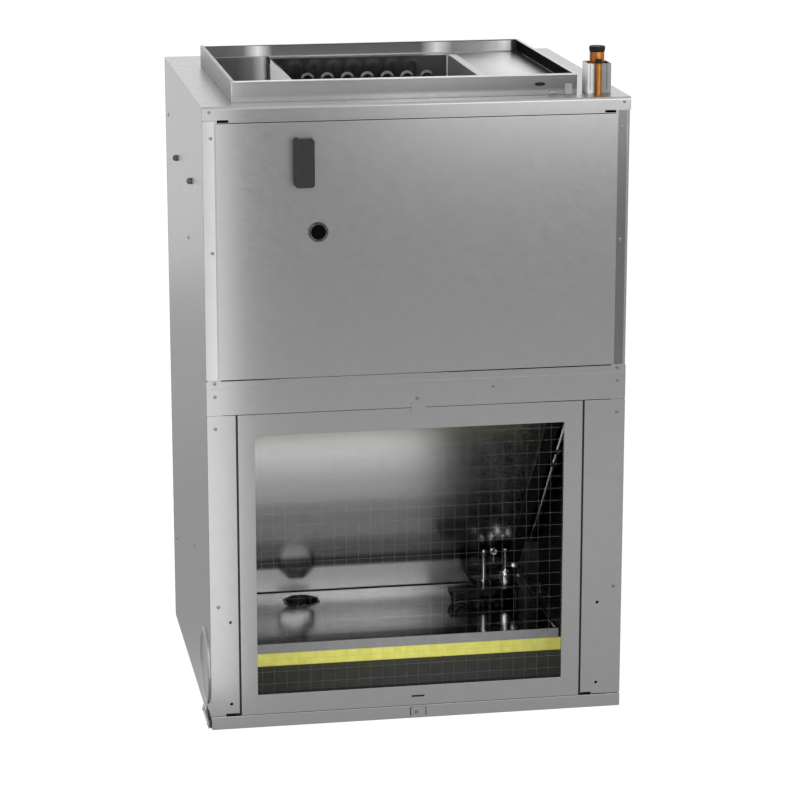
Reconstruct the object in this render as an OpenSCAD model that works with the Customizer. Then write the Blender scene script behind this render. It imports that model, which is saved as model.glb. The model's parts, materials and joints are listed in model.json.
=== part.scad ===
// Upright air handling unit: sheet metal cabinet with a duct collar on top, a service panel above
// and a screened return opening below, with a leaning coil over a drain pan behind it.
// Millimetres, +Z up. The origin is at the middle of the base, on the floor, with the front at -Y.
// Places inside the modules are measured from the cabinet's front left bottom corner.

/* [Cabinet] */
// Width of the cabinet
cabinet_w = 610; // [590:1:660]
// Depth of the cabinet without its raised rails
cabinet_d = 538; // [525:1:580]
// Height of the cabinet without its collar
cabinet_h = 913; // [880:1:980]
// Thickness of the cabinet sheet
sheet_t = 1.2; // [0.8:0.1:1.6]
// Outer radius of the bends in the side panels and the apron
bend_r = 4; // [2.5:0.5:6]
// Width of the side panels' front and back flanges
post_flange_w = 21; // [19:1:26]
// Thickness of the base
base_h = 4; // [3:0.5:6]
// Clearance between pieces that fit together
fit_gap = 0.3; // [0.2:0.05:0.5]

/* [Front rails] */
// Height of the bottom rail
bottom_rail_h = 19.5; // [15:0.5:24]
// How far the bottom rail stands out of the front
bottom_rail_out = 1.5; // [0:0.5:3]
// Height of the middle rail's lower edge
middle_rail_z = 472.5; // [450:0.5:490]
// Height of the middle rail
middle_rail_h = 49.5; // [40:0.5:60]
// Height of the strip at the top of the middle rail that is set back
middle_step_h = 10.5; // [6:0.5:16]
// How far that strip is set back
middle_step_d = 0.5; // [0.2:0.1:0.6]
// Height of the top panel's front apron
apron_h = 18.4; // [14:0.2:24]
// How far the apron stands out of the front
apron_out = 2; // [0:0.5:4]

/* [Service panel] */
// How far the service panel laps over each post
panel_lap = 2.5; // [1:0.5:6]
// Gap between the service panel and the middle rail
panel_gap = 1; // [0.5:0.5:3]
// Open gap between the service panel and the apron
shadow_gap = 5.6; // [3:0.2:8]
// Distance from the cabinet's sides to the ends of the hooked lip
lip_inset = 37; // [30:1:60]
// Height of the hooked lip above the panel
lip_up = 14; // [8:1:20]
// Height that the lip laps behind the panel
lip_lap = 5; // [3:1:10]

/* [Panel handle and plug] */
// Width of the handle block
handle_w = 28; // [20:1:36]
// Height of the handle block
handle_h = 69; // [50:1:90]
// How far the handle block stands out
handle_out = 17; // [10:1:25]
// Corner radius of the handle block
handle_r = 5; // [2:0.5:8]
// Middle of the handle from the left side
handle_x = 141; // [120:1:300]
// Distance from the panel's top edge down to the handle's middle
handle_down = 56; // [48:1:120]
// Radius of the round plug
plug_r = 14; // [10:0.5:20]
// How far the plug stands out
plug_out = 4; // [2:0.5:8]
// Radius of the dish in the plug
plug_dish_r = 10; // [5:0.5:11]
// Depth of the dish in the plug
plug_dish_d = 2.5; // [1:0.5:3]
// Middle of the plug from the left side
plug_x = 161.5; // [140:0.5:300]
// Distance from the panel's top edge down to the plug's middle
plug_down = 156; // [120:1:300]

/* [Lower front] */
// Width of the left filler panel
left_filler_w = 41; // [36:1:60]
// Width of the right filler panel
right_filler_w = 60; // [45:1:80]
// Gap above and below the lower panels
front_gap = 1; // [0.5:0.5:3]
// Gap on each side of the return frame
side_gap = 3; // [1:0.5:5]
// Width of the return frame's left side
frame_left_w = 24; // [18:1:40]
// Width of the return frame's right side
frame_right_w = 27; // [18:1:40]
// Width of the return frame's top
frame_top_w = 31; // [20:1:45]
// Width of the return frame's bottom
frame_bottom_w = 29; // [20:1:45]
// Radius of the four screw holes in the filler panels
front_hole_r = 2.3; // [1.5:0.1:3]
// Distance of the left holes from the left side
front_hole_x = 29.3; // [26:0.1:31]
// Distance of the right holes from the right side
front_hole_right = 36.3; // [30:0.1:45]
// Height of the lower holes
front_hole_z = 38; // [30:1:80]
// Distance between the lower and upper holes
front_hole_rise = 125; // [60:1:200]
// Width of the two clips that hold the frame
clip_w = 21; // [14:1:30]
// Height of the two clips
clip_h = 16; // [12:1:24]

/* [Screen] */
// How far the screen border laps behind the filler panels
border_lap = 5; // [3:0.5:6]
// How far the border stands back from the frame's opening
border_back = 8; // [3:1:12]
// Depth of the screen border
border_d = 6; // [4:0.5:12]
// Thickness of the screen wires
wire_t = 0.3; // [0.2:0.1:1.2]
// Distance between the upright wires
wire_pitch_x = 17.75; // [12:0.05:30]
// Distance between the level wires
wire_pitch_z = 18.4; // [12:0.05:30]
// Distance of the first upright wire from the opening's left edge
wire_start_x = 7.5; // [2:0.1:20]
// Distance of the first level wire from the opening's lower edge
wire_start_z = 14.6; // [2:0.1:20]

/* [Drain pan] */
// Distance of the pan's front from the cabinet's front
pan_y = 249; // [200:1:300]
// Height of the pan's top edge
pan_h = 40; // [34:1:50]
// Height of the pan's front lip
pan_lip_h = 15.5; // [10:0.5:20]
// Distance from the left side to the pan
pan_left = 23; // [20:1:40]
// Distance from the right side to the pan
pan_right = 36; // [30:1:60]
// Distance from the right side to the end of the foam's front strip
strip_right = 20; // [10:1:30]
// Depth of the foam's front strip where it runs on past the pan
strip_d = 12; // [6:1:20]
// Distance from the back to the pan
pan_back = 5; // [4:1:12]
// Depth of the tray in the pan
tray_d = 2; // [1:0.5:4]
// Width of the rim round the tray
tray_rim = 4; // [3:0.5:8]

/* [Coil] */
// Depth of the middle rail's shelf that the coil's upper end leans on
shelf_d = 70; // [40:1:80]
// Distance of the coil's foot from the back
coil_foot_back = 31; // [28:1:60]
// Thickness of the coil slab
coil_t = 28; // [20:1:34]
// Distance from the left side to the slab
coil_left = 35; // [30:1:60]
// Distance from the right side to the slab
coil_right = 73; // [66:1:100]
// Thickness of the coil's end plates
end_plate_t = 1.5; // [1:0.5:3]
// How far the end plates reach past the slab's two faces
end_plate_over = 4; // [2:0.5:5]
// Width of the right end plate's front flange
end_flange_w = 18; // [12:1:22]
// Height of the seal under the front edge of the coil's foot
seal_h = 1.5; // [1:0.5:4]
// Width of the channel beside the coil
channel_w = 26; // [22:1:26]
// Depth of the channel
channel_d = 20; // [16:1:24]
// Distance along the coil from its foot to the channel's lower end
channel_start = 123; // [100:1:150]
// Length of the channel
channel_len = 500; // [350:5:520]
// Radius of the tube in the channel
header_r = 5.5; // [4:0.5:6.5]
// Radius of the two nuts on the tube
header_nut_r = 8; // [7:0.5:9]
// Length of each nut
header_nut_len = 14; // [8:1:20]
// Distance along the tube to the lower nut
header_nut_at = 220; // [100:5:300]
// Distance between the two nuts
header_nut_pitch = 36; // [24:1:60]

/* [Valve and drain] */
// Distance of the valve plate from the right side
valve_plate_right = 65; // [60:1:80]
// Width of the valve plate
valve_plate_w = 116; // [105:1:125]
// Width of the cut-out in the valve plate's left back corner
valve_notch_w = 42; // [30:1:46]
// Distance from the valve plate's front to the valve
valve_plate_front = 24; // [22:1:40]
// Distance of the valve from the back
valve_back = 118; // [110:1:130]
// Thickness of the valve plate
valve_plate_t = 2; // [1:0.5:3]
// Height of the valve plate's legs
valve_leg_h = 20; // [10:1:30]
// Radius of the valve plate's legs
valve_leg_r = 3; // [2:0.5:4]
// Distance of the valve from the plate's right end
valve_in = 20; // [18:1:40]
// Distance of the distributor post from the valve
post_left = 36; // [30:1:40]
// Radius of the valve body
valve_r = 10; // [8:0.5:12]
// Height of the valve body
valve_h = 24; // [16:1:28]
// Radius of the valve's stem
valve_stem_r = 4; // [3:0.5:6]
// Height of the valve's stem
valve_stem_h = 36; // [24:1:38]
// Radius of the distributor post
post_r = 5; // [4:0.5:7]
// Height of the distributor post
post_h = 60; // [40:1:62]
// Radius of the capillary tubes
capillary_r = 1.6; // [1:0.1:2.2]
// Radius of the largest capillary loop
capillary_loop_r = 21; // [18:1:22]
// Difference in radius from one capillary loop to the next
capillary_step = 5; // [4.6:0.2:6]
// Distance of the drain fitting from the left side
drain_x = 196; // [120:1:260]
// Distance of the drain fitting's middle from the back
drain_back = 80; // [70:1:120]
// Radius of the drain cup, out to its eight corners
drain_r = 31; // [22:1:32]
// Depth of the drain cup below the tray
drain_d = 18; // [10:1:24]
// Thickness of the drain cup
drain_t = 2; // [1.5:0.5:4]
// How far the drain cup's rim laps over the tray
drain_rim = 1.6; // [1:0.2:1.8]
// Radius of the drain's bore
drain_bore_r = 8; // [5:0.5:14]

/* [Duct collar] */
// Distance from the left side to the collar
collar_left = 45; // [30:1:60]
// Distance from the right side to the collar
collar_right = 71; // [66:1:90]
// Distance from the front to the collar
collar_front = 33; // [25:1:50]
// Distance from the back to the collar
collar_back = 108; // [80:1:130]
// Height of the collar
collar_h = 30; // [25:1:45]
// Depth of the safety fold at the collar's top edge
collar_fold = 5; // [3:0.5:8]
// Height of the supply deck above the top panel
deck_up = 11; // [6:0.5:16]
// Width of the well on the left of the supply opening
well_w = 100.5; // [80:0.5:130]
// Width of the deck on the right of the supply opening
deck_right_w = 116; // [80:1:130]
// Width of the deck behind the supply opening
deck_back_w = 34; // [24:1:60]
// Width of the deck in front of the supply opening
deck_front_w = 34; // [24:1:60]
// Width of the liner's flange on the deck
liner_flange_w = 12; // [6:0.5:20]
// Distance from the liner's left wing to the back of the well
wing_gap = 7; // [4:0.5:12]
// How far the supply liner reaches down below the top panel
liner_down = 74; // [50:1:100]

/* [Heater elements] */
// Number of elements
element_count = 7; // [4:1:8]
// Distance between elements
element_pitch = 30.3; // [26:0.1:32]
// Radius of an element's rod
element_r = 3.4; // [2:0.2:4]
// Radius of an element's bend at the middle of its rod
element_bend_r = 7.4; // [5:0.2:9]
// Distance from the liner's back wall to the elements
element_back = 68; // [40:1:150]
// Distance from the top panel down to the top of the elements
element_drop = 1; // [0:1:20]
// Thickness of the carrier that holds the elements
carrier_t = 10; // [6:1:16]
// Depth of the carrier that holds the elements
carrier_d = 24; // [16:1:40]

/* [Refrigerant lines] */
// Radius of the suction line
suction_r = 10.5; // [8:0.5:12]
// Height of the suction line above the top panel
suction_up = 58; // [50:1:90]
// Radius of the suction line's cap
suction_cap_r = 11.5; // [11:0.5:14]
// Height of the suction line's cap
suction_cap_h = 7; // [5:1:14]
// Distance of the suction line from the right side
suction_right = 38; // [36:1:42]
// Distance of the suction line from the front
suction_y = 51; // [50:1:60]
// Radius of the liquid line
liquid_r = 4; // [3:0.2:4.6]
// Height of the liquid line above the top panel
liquid_up = 44; // [30:1:60]
// Radius of the liquid line's cap
liquid_cap_r = 5.4; // [4.8:0.2:5.6]
// Height of the liquid line's cap
liquid_cap_h = 6; // [4:1:10]
// Distance of the liquid line from the right side
liquid_right = 41; // [36:1:46]
// How far both lines reach below the top panel
line_down = 40; // [20:1:80]
// Width and depth of the shroud round the suction line
shroud_w = 34; // [30:1:44]
// Height of the shroud
shroud_h = 43; // [30:1:48]

/* [Left side] */
// Radius of the two cable holes in each side panel
side_hole_r = 4; // [3:0.5:8]
// Height of the cable holes
side_hole_z = 783; // [700:1:830]
// Distance of the front cable hole from the front
side_hole_y = 158; // [120:1:220]
// Distance between the two cable holes
side_hole_span = 204; // [150:1:260]
// Radius of the round knock-out cover
cover_r = 57; // [35:1:60]
// How far the knock-out cover stands out
cover_out = 3.5; // [0.8:0.1:5]
// Middle of the knock-out cover from the front
cover_y = 69; // [66:1:120]
// Middle of the knock-out cover above the floor
cover_z = 76; // [70:1:120]
// Distance of the foot bracket from the front
foot_y = 7; // [5:1:40]
// Length of the foot bracket
foot_len = 74; // [40:1:90]
// Height of the foot bracket
foot_h = 11; // [6:1:16]
// How far the foot bracket stands out of the side
foot_out = 4.5; // [3:0.5:6]
// Height of the slot above the base, behind the foot bracket
slot_h = 9; // [4:1:12]
// Distance of the slot from each end of the foot bracket
slot_inset = 10; // [4:1:15]

/* [Hidden] */
$fn = 64;
// Small overlap that keeps cuts clean
cut = 1;

// Heights and depths that several pieces share
top_z = cabinet_h - sheet_t;
post_y = sheet_t;
apron_z = cabinet_h - apron_h;
middle_top_z = middle_rail_z + middle_rail_h;
inner_left = post_flange_w + fit_gap;
inner_w = cabinet_w - 2 * inner_left;

// Service panel
panel_x = post_flange_w - panel_lap;
panel_w = cabinet_w - 2 * panel_x;
panel_z = middle_top_z + panel_gap;
panel_top_z = apron_z - shadow_gap;
handle_z = panel_top_z - handle_down;
plug_z = panel_top_z - plug_down;

// Lower front
lower_z = bottom_rail_h + front_gap;
lower_h = middle_rail_z - front_gap - lower_z;
frame_x = left_filler_w + side_gap;
frame_w = cabinet_w - right_filler_w - side_gap - frame_x;
open_x = frame_x + frame_left_w;
open_w = frame_w - frame_left_w - frame_right_w;
open_z = lower_z + frame_bottom_w;
open_h = lower_h - frame_bottom_w - frame_top_w;
clip_x = cabinet_w / 2 - clip_w / 2;
border_x = frame_x - side_gap - border_lap;
border_w = frame_w + 2 * (side_gap + border_lap);
border_open_x = open_x - border_back;
border_open_w = open_w + 2 * border_back;
border_open_z = open_z - border_back;
border_open_h = open_h + 2 * border_back;
wire_y = post_y + border_d / 2;

// Drain pan and coil
pan_w = cabinet_w - pan_left - pan_right;
strip_w = cabinet_w - pan_left - strip_right;
pan_d = cabinet_d - pan_back - pan_y;
pan_under_z = pan_h - pan_lip_h;
tray_z = pan_h - tray_d;
coil_w = cabinet_w - coil_left - coil_right;
coil_foot_y = cabinet_d - coil_foot_back;
coil_foot_z = tray_z + seal_h;
coil_top_y = post_y + shelf_d + fit_gap;
coil_top_z = middle_top_z + fit_gap;
coil_lean = atan((coil_foot_y - coil_top_y) / (coil_top_z - coil_foot_z));
coil_len = (coil_top_z - coil_foot_z) / cos(coil_lean);
seal_d = cabinet_d - pan_back - tray_rim - fit_gap - coil_foot_y;
channel_x = cabinet_w - coil_right + end_plate_t + end_flange_w;

// Valve and drain
valve_plate_x = cabinet_w - valve_plate_right - valve_plate_w;
valve_y = cabinet_d - valve_back;
valve_plate_y = valve_y - valve_plate_front;
valve_plate_z = tray_z + valve_leg_h;
valve_z = valve_plate_z + valve_plate_t;
valve_plate_d = coil_foot_y - (valve_z - coil_foot_z) * tan(coil_lean) - fit_gap - valve_plate_y;
valve_x = valve_plate_x + valve_plate_w - valve_in;
drain_y = cabinet_d - drain_back;

// Collar, deck and supply opening
collar_w = cabinet_w - collar_left - collar_right;
collar_d = cabinet_d - collar_front - collar_back;
deck_x = collar_left + sheet_t + fit_gap;
deck_y = collar_front + sheet_t + fit_gap;
deck_w = collar_w - 2 * (sheet_t + fit_gap);
deck_d = collar_d - 2 * (sheet_t + fit_gap);
deck_z = cabinet_h + deck_up;
supply_x = deck_x + well_w + fit_gap + sheet_t;
supply_y = deck_y + deck_front_w;
supply_w = deck_x + deck_w - deck_right_w - supply_x;
supply_d = deck_d - deck_front_w - deck_back_w;
liner_z = top_z - liner_down;
element_y = supply_y + supply_d - element_back;
element_top_z = cabinet_h - element_drop;
element_row_w = (element_count - 1) * element_pitch;

// Refrigerant lines
suction_x = cabinet_w - suction_right;
liquid_x = cabinet_w - liquid_right;
shroud_y = suction_y - shroud_w / 2;
liquid_y = shroud_y - fit_gap - max(liquid_r, liquid_cap_r);

// Moves a piece from the cabinet's front left bottom corner to the part's own frame
module placed() {
    translate([-cabinet_w / 2, -cabinet_d / 2, 0])
        children();
}

// Moves a piece from the coil's own axes, with Z along the slope, to its lean
module leaned() {
    placed()
        translate([0, coil_foot_y, coil_foot_z])
            rotate([coil_lean, 0, 0])
                children();
}

// Rectangle with round corners
module round_rectangle(w, d, r) {
    translate([r, 0])
        square([w - 2 * r, d]);
    translate([0, r])
        square([w, d - 2 * r]);
    for (x = [r, w - r], y = [r, d - r])
        translate([x, y])
            circle(r);
}

// Box with a rectangular opening from top to bottom
module open_box(outer, inner_at, inner) {
    difference() {
        cube(outer);
        translate([inner_at[0], inner_at[1], -cut])
            cube([inner[0], inner[1], outer[2] + 2 * cut]);
    }
}

// Flat plate on the front, with Y as its thickness
module front_plate(x, z, w, h, y = 0, t = sheet_t) {
    translate([x, y, z])
        cube([w, t, h]);
}

// Hole through a front plate
module front_hole(x, z, r) {
    translate([x, -cut, z])
        rotate([-90, 0, 0])
            cylinder(r = r, h = sheet_t + 2 * cut);
}

// Flat floor of the cabinet, between the side panels
module base_panel() {
    inset = post_y + sheet_t + bend_r;
    color("dimgray") placed()
        translate([sheet_t + fit_gap, inset, 0])
            cube([cabinet_w - 2 * (sheet_t + fit_gap), cabinet_d - 2 * inset, base_h]);
}

// Side sheet with a front and a back flange, seen from above
module side_profile() {
    d = cabinet_d - 2 * post_y;
    translate([0, post_y])
        difference() {
            round_rectangle(2 * post_flange_w, d, bend_r);
            translate([sheet_t, sheet_t])
                round_rectangle(2 * post_flange_w, d - 2 * sheet_t, bend_r - sheet_t);
            translate([post_flange_w, -cut])
                square([2 * post_flange_w, d + 2 * cut]);
        }
}

module side_sheet() {
    difference() {
        linear_extrude(top_z)
            side_profile();
        for (y = [side_hole_y, side_hole_y + side_hole_span])
            translate([-cut, y, side_hole_z])
                rotate([0, 90, 0])
                    cylinder(r = side_hole_r, h = sheet_t + 2 * cut);
        translate([-cut, foot_y + slot_inset, base_h])
            cube([sheet_t + 2 * cut, foot_len - 2 * slot_inset, slot_h]);
    }
}

module left_side_panel() {
    color("silver") placed()
        side_sheet();
}

module right_side_panel() {
    color("silver") placed()
        translate([cabinet_w, 0, 0])
            mirror([1, 0, 0])
                side_sheet();
}

module back_panel() {
    color("silver") placed()
        translate([0, cabinet_d - post_y, 0])
            cube([cabinet_w, sheet_t, top_z]);
}

// Top sheet and its bent front apron, seen from the side with Y to the right
module top_profile() {
    translate([-apron_out, 0]) {
        translate([bend_r, top_z])
            square([cabinet_d + apron_out - bend_r, sheet_t]);
        translate([0, apron_z])
            square([sheet_t, apron_h - bend_r]);
        intersection() {
            translate([0, cabinet_h - bend_r])
                square(bend_r);
            translate([bend_r, cabinet_h - bend_r])
                difference() {
                    circle(bend_r);
                    circle(bend_r - sheet_t);
                }
        }
    }
}

// Extrudes a profile drawn in Y and Z along the cabinet's width
module along_width(x, w) {
    translate([x, 0, 0])
        rotate([90, 0, 90])
            linear_extrude(w)
                children();
}

module top_panel() {
    hole = sheet_t + fit_gap;
    color("gainsboro") placed()
        difference() {
            along_width(0, cabinet_w)
                top_profile();
            translate([deck_x - fit_gap, deck_y - fit_gap, top_z - cut])
                cube([well_w + 3 * fit_gap + sheet_t, deck_d + 2 * fit_gap, sheet_t + 2 * cut]);
            translate([supply_x - hole, supply_y - hole, top_z - cut])
                cube([supply_w + 2 * hole, supply_d + 2 * hole, sheet_t + 2 * cut]);
            translate([suction_x, suction_y, top_z - cut])
                cylinder(r = suction_r + fit_gap, h = sheet_t + 2 * cut);
            translate([liquid_x, liquid_y, top_z - cut])
                cylinder(r = liquid_r + fit_gap, h = sheet_t + 2 * cut);
        }
}

// Channel with its back open, along the foot of the front
module bottom_rail() {
    flange = bottom_rail_out + post_y;
    color("silver") placed()
        along_width(0, cabinet_w)
            translate([-bottom_rail_out, 0])
                difference() {
                    square([flange, bottom_rail_h]);
                    translate([sheet_t, sheet_t])
                        square([flange, bottom_rail_h - 2 * sheet_t]);
                }
}

// Front plate with a set-back strip and a shelf that the coil leans on
module middle_rail() {
    step_z = middle_top_z - middle_step_h;
    color("silver") placed() {
        difference() {
            front_plate(0, middle_rail_z, cabinet_w, middle_rail_h);
            translate([-cut, -cut, step_z])
                cube([cabinet_w + 2 * cut, middle_step_d + cut, middle_step_h + cut]);
        }
        translate([inner_left, post_y, middle_top_z - sheet_t])
            cube([inner_w, shelf_d, sheet_t]);
    }
}

// Flat door sheet with a lip that hooks up behind the apron
module service_panel() {
    color("darkgray") placed() {
        front_plate(panel_x, panel_z, panel_w, panel_top_z - panel_z);
        front_plate(lip_inset, panel_top_z - lip_lap, cabinet_w - 2 * lip_inset, lip_lap + lip_up, post_y);
    }
}

module panel_handle() {
    color("dimgray") placed()
        translate([handle_x - handle_w / 2, 0, handle_z - handle_h / 2])
            rotate([90, 0, 0])
                linear_extrude(handle_out)
                    round_rectangle(handle_w, handle_h, handle_r);
}

module panel_plug() {
    color("black") placed()
        translate([plug_x, 0, plug_z])
            rotate([90, 0, 0])
                difference() {
                    cylinder(r = plug_r, h = plug_out);
                    translate([0, 0, plug_out - plug_dish_d])
                        cylinder(r = plug_dish_r, h = plug_dish_d + cut);
                }
}

module left_filler_panel() {
    color("silver") placed()
        difference() {
            front_plate(0, lower_z, left_filler_w, lower_h);
            for (z = [front_hole_z, front_hole_z + front_hole_rise])
                front_hole(front_hole_x, z, front_hole_r);
        }
}

module right_filler_panel() {
    color("silver") placed()
        difference() {
            front_plate(cabinet_w - right_filler_w, lower_z, right_filler_w, lower_h);
            for (z = [front_hole_z, front_hole_z + front_hole_rise])
                front_hole(cabinet_w - front_hole_right, z, front_hole_r);
        }
}

module return_frame() {
    color("silver") placed()
        difference() {
            front_plate(frame_x, lower_z, frame_w, lower_h);
            translate([open_x, -cut, open_z])
                cube([open_w, sheet_t + 2 * cut, open_h]);
        }
}

// Clip across the gap between the middle rail and the frame
module upper_clip() {
    color("silver") placed()
        front_plate(clip_x, middle_rail_z - front_gap / 2 - clip_h / 2, clip_w, clip_h, -sheet_t);
}

// Clip on the bottom rail, under the frame
module lower_clip() {
    color("silver") placed()
        front_plate(clip_x, (bottom_rail_h - clip_h) / 2, clip_w, clip_h, -bottom_rail_out - sheet_t);
}

// Border behind the frame that holds the wires
module screen_border() {
    color("gray") placed()
        difference() {
            front_plate(border_x, lower_z, border_w, lower_h, post_y, border_d);
            translate([border_open_x, post_y - cut, border_open_z])
                cube([border_open_w, border_d + 2 * cut, border_open_h]);
        }
}

// Level wires, in front of the upright ones
module screen_wires_across() {
    color("dimgray") placed()
        for (z = [open_z + wire_start_z:wire_pitch_z:open_z + open_h])
            translate([border_open_x, wire_y - wire_t, z])
                cube([border_open_w, wire_t, wire_t]);
}

module screen_wires_upright() {
    color("dimgray") placed()
        for (x = [open_x + wire_start_x:wire_pitch_x:open_x + open_w])
            translate([x, wire_y, border_open_z])
                cube([wire_t, wire_t, border_open_h]);
}

// Eight-sided hole or cup on the drain's axis, between two heights
module drain_shape(r, low, high) {
    translate([drain_x, drain_y, low])
        rotate([0, 0, 22.5])
            cylinder(r = r, h = high - low, $fn = 8);
}

// Foam under the pan, with its upper part inside the pan's lip and a hole for the drain cup
module pan_insulation() {
    color("khaki") placed()
        difference() {
            translate([pan_left, pan_y, base_h]) {
                cube([pan_w, pan_d, pan_under_z - base_h]);
                cube([strip_w, strip_d, pan_under_z - base_h]);
                translate([sheet_t, sheet_t, 0])
                    cube([pan_w - 2 * sheet_t, pan_d - 2 * sheet_t, tray_z - sheet_t - base_h]);
            }
            drain_shape(drain_r + fit_gap, tray_z - drain_d, pan_h);
        }
}

// Sheet pan with a shallow tray on top, a lip turned down all round and a hole for the drain cup
module drain_pan() {
    color("silver") placed()
        difference() {
            translate([pan_left, pan_y, pan_under_z])
                cube([pan_w, pan_d, pan_lip_h]);
            translate([pan_left + sheet_t, pan_y + sheet_t, pan_under_z - cut])
                cube([pan_w - 2 * sheet_t, pan_d - 2 * sheet_t, pan_lip_h - tray_d - sheet_t + cut]);
            translate([pan_left + tray_rim, pan_y + tray_rim, tray_z])
                cube([pan_w - 2 * tray_rim, pan_d - 2 * tray_rim, tray_d + cut]);
            drain_shape(drain_r + fit_gap, pan_under_z, pan_h);
        }
}

// Black wedge between the pan and the coil's foot, thin at its front edge
module coil_seal() {
    color("black") placed()
        along_width(coil_left, coil_w)
            polygon([
                [coil_foot_y, tray_z],
                [coil_foot_y + seal_d, tray_z],
                [coil_foot_y + seal_d, coil_foot_z + seal_d * tan(coil_lean)],
                [coil_foot_y, coil_foot_z]
            ]);
}

module coil_slab() {
    color("lightgray") leaned()
        translate([coil_left, 0, 0])
            cube([coil_w, coil_t, coil_len]);
}

module end_plate(x) {
    translate([x, -end_plate_over, end_plate_over])
        cube([end_plate_t, coil_t + 2 * end_plate_over, coil_len - 2 * end_plate_over]);
}

module left_end_plate() {
    color("dimgray") leaned()
        end_plate(coil_left - end_plate_t);
}

// End plate with a front flange turned away from the slab
module right_end_plate() {
    color("dimgray") leaned() {
        end_plate(coil_left + coil_w);
        translate([coil_left + coil_w, -end_plate_over, end_plate_over])
            cube([end_plate_t + end_flange_w, end_plate_t, coil_len - 2 * end_plate_over]);
    }
}

// Channel beside the end plate, open to the front, with a floor at its lower end
module tube_channel() {
    color("gray") leaned()
        translate([channel_x, -end_plate_over, channel_start])
            difference() {
                cube([channel_w, channel_d, channel_len]);
                translate([sheet_t, -cut, sheet_t])
                    cube([channel_w - 2 * sheet_t, channel_d - sheet_t + cut, channel_len]);
            }
}

// Tube that stands on the channel's floor, with two nuts
module coil_header() {
    color("lightgray") leaned()
        translate([channel_x + channel_w / 2, channel_d / 2 - end_plate_over, channel_start + sheet_t]) {
            cylinder(r = header_r, h = channel_len - sheet_t);
            for (z = [header_nut_at, header_nut_at + header_nut_pitch])
                translate([0, 0, z])
                    cylinder(r = header_nut_r, h = header_nut_len, $fn = 6);
        }
}

// Plate against the coil's face, on two legs that stand in the tray
module valve_plate() {
    color("dimgray") placed() {
        difference() {
            translate([valve_plate_x, valve_plate_y, valve_plate_z])
                cube([valve_plate_w, valve_plate_d, valve_plate_t]);
            translate([valve_plate_x - cut, valve_y + 2 * capillary_r, valve_plate_z - cut])
                cube([valve_notch_w + cut, valve_plate_d, valve_plate_t + 2 * cut]);
        }
        for (x = [2 * valve_leg_r, valve_plate_w - 2 * valve_leg_r])
            translate([valve_plate_x + x, valve_plate_y + 2 * valve_leg_r, tray_z])
                cylinder(r = valve_leg_r, h = valve_leg_h + valve_plate_t / 2);
    }
}

module expansion_valve() {
    color("silver") placed()
        translate([valve_x, valve_y, valve_z]) {
            cylinder(r = valve_r, h = valve_h);
            cylinder(r = valve_stem_r, h = valve_h + valve_stem_h);
        }
}

module distributor_post() {
    color("silver") placed()
        translate([valve_x - post_left, valve_y, valve_z])
            cylinder(r = post_r, h = post_h);
}

// Nested hoops of thin tube that stand on the valve plate, on the left of the post
module capillary_loops() {
    x = valve_plate_x + capillary_loop_r + capillary_r;
    color("dimgray") placed()
        for (i = [0:2])
            translate([x, valve_y - i * capillary_step, valve_z])
                rotate([90, 0, 0])
                    rotate_extrude(angle = 180)
                        translate([capillary_loop_r - i * capillary_step, 0])
                            circle(capillary_r, $fn = 16);
}

// Eight-sided cup let into the pan, with a rim on the tray and a bore in its floor
module drain_fitting() {
    color("black") placed()
        difference() {
            union() {
                drain_shape(drain_r, tray_z - drain_d, tray_z + drain_t / 2);
                drain_shape(drain_r + drain_rim, tray_z, tray_z + drain_t / 2);
            }
            drain_shape(drain_r - drain_t, tray_z - drain_d + drain_t, tray_z + drain_t);
            translate([drain_x, drain_y, tray_z - drain_d - cut])
                cylinder(r = drain_bore_r, h = drain_t + 2 * cut);
        }
}

// Four collar walls with a fold turned in at the top
module duct_collar() {
    color("gray") placed()
        translate([collar_left, collar_front, cabinet_h]) {
            open_box(
                [collar_w, collar_d, collar_h],
                [sheet_t, sheet_t],
                [collar_w - 2 * sheet_t, collar_d - 2 * sheet_t]
            );
            translate([0, 0, collar_h - sheet_t])
                open_box(
                    [collar_w, collar_d, sheet_t],
                    [collar_fold, collar_fold],
                    [collar_w - 2 * collar_fold, collar_d - 2 * collar_fold]
                );
        }
}

// Sunk tray on the left inside the collar, closed on its right by the liner
module supply_well() {
    h = deck_z - liner_z;
    color("silver") placed()
        translate([deck_x, deck_y, liner_z])
            difference() {
                cube([well_w, deck_d, h]);
                translate([sheet_t, sheet_t, sheet_t])
                    cube([well_w, deck_d - 2 * sheet_t, h]);
            }
}

// Raised floor behind, right of and in front of the liner, on a skirt that stands on the top panel
module supply_deck() {
    hole = sheet_t + fit_gap;
    x = supply_x + fit_gap;
    w = deck_x + deck_w - x;
    color("silver") placed()
        translate([x, deck_y, cabinet_h])
            difference() {
                cube([w, deck_d, deck_up]);
                translate([-cut, sheet_t, -cut])
                    cube([w - sheet_t + cut, deck_d - 2 * sheet_t, deck_up - sheet_t + cut]);
                translate([-cut, deck_front_w - hole, -cut])
                    cube([w - deck_right_w + hole + cut, supply_d + 2 * hole, deck_up + 2 * cut]);
            }
}

// Four walls of the supply opening, with a flange on the right and a wing at the back of the well
module supply_liner() {
    h = deck_z + sheet_t - liner_z;
    wing_d = deck_back_w - 2 * sheet_t - wing_gap;
    color("whitesmoke") placed()
        translate([supply_x - sheet_t, supply_y - sheet_t, liner_z]) {
            open_box(
                [supply_w + 2 * sheet_t, supply_d + 2 * sheet_t, h],
                [sheet_t, sheet_t],
                [supply_w, supply_d]
            );
            translate([supply_w + 2 * sheet_t, 0, h - sheet_t])
                cube([liner_flange_w, supply_d + 2 * sheet_t, sheet_t]);
            translate([0, supply_d + 2 * sheet_t, 0])
                cube([sheet_t, wing_d, top_z - liner_z]);
        }
}

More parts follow.
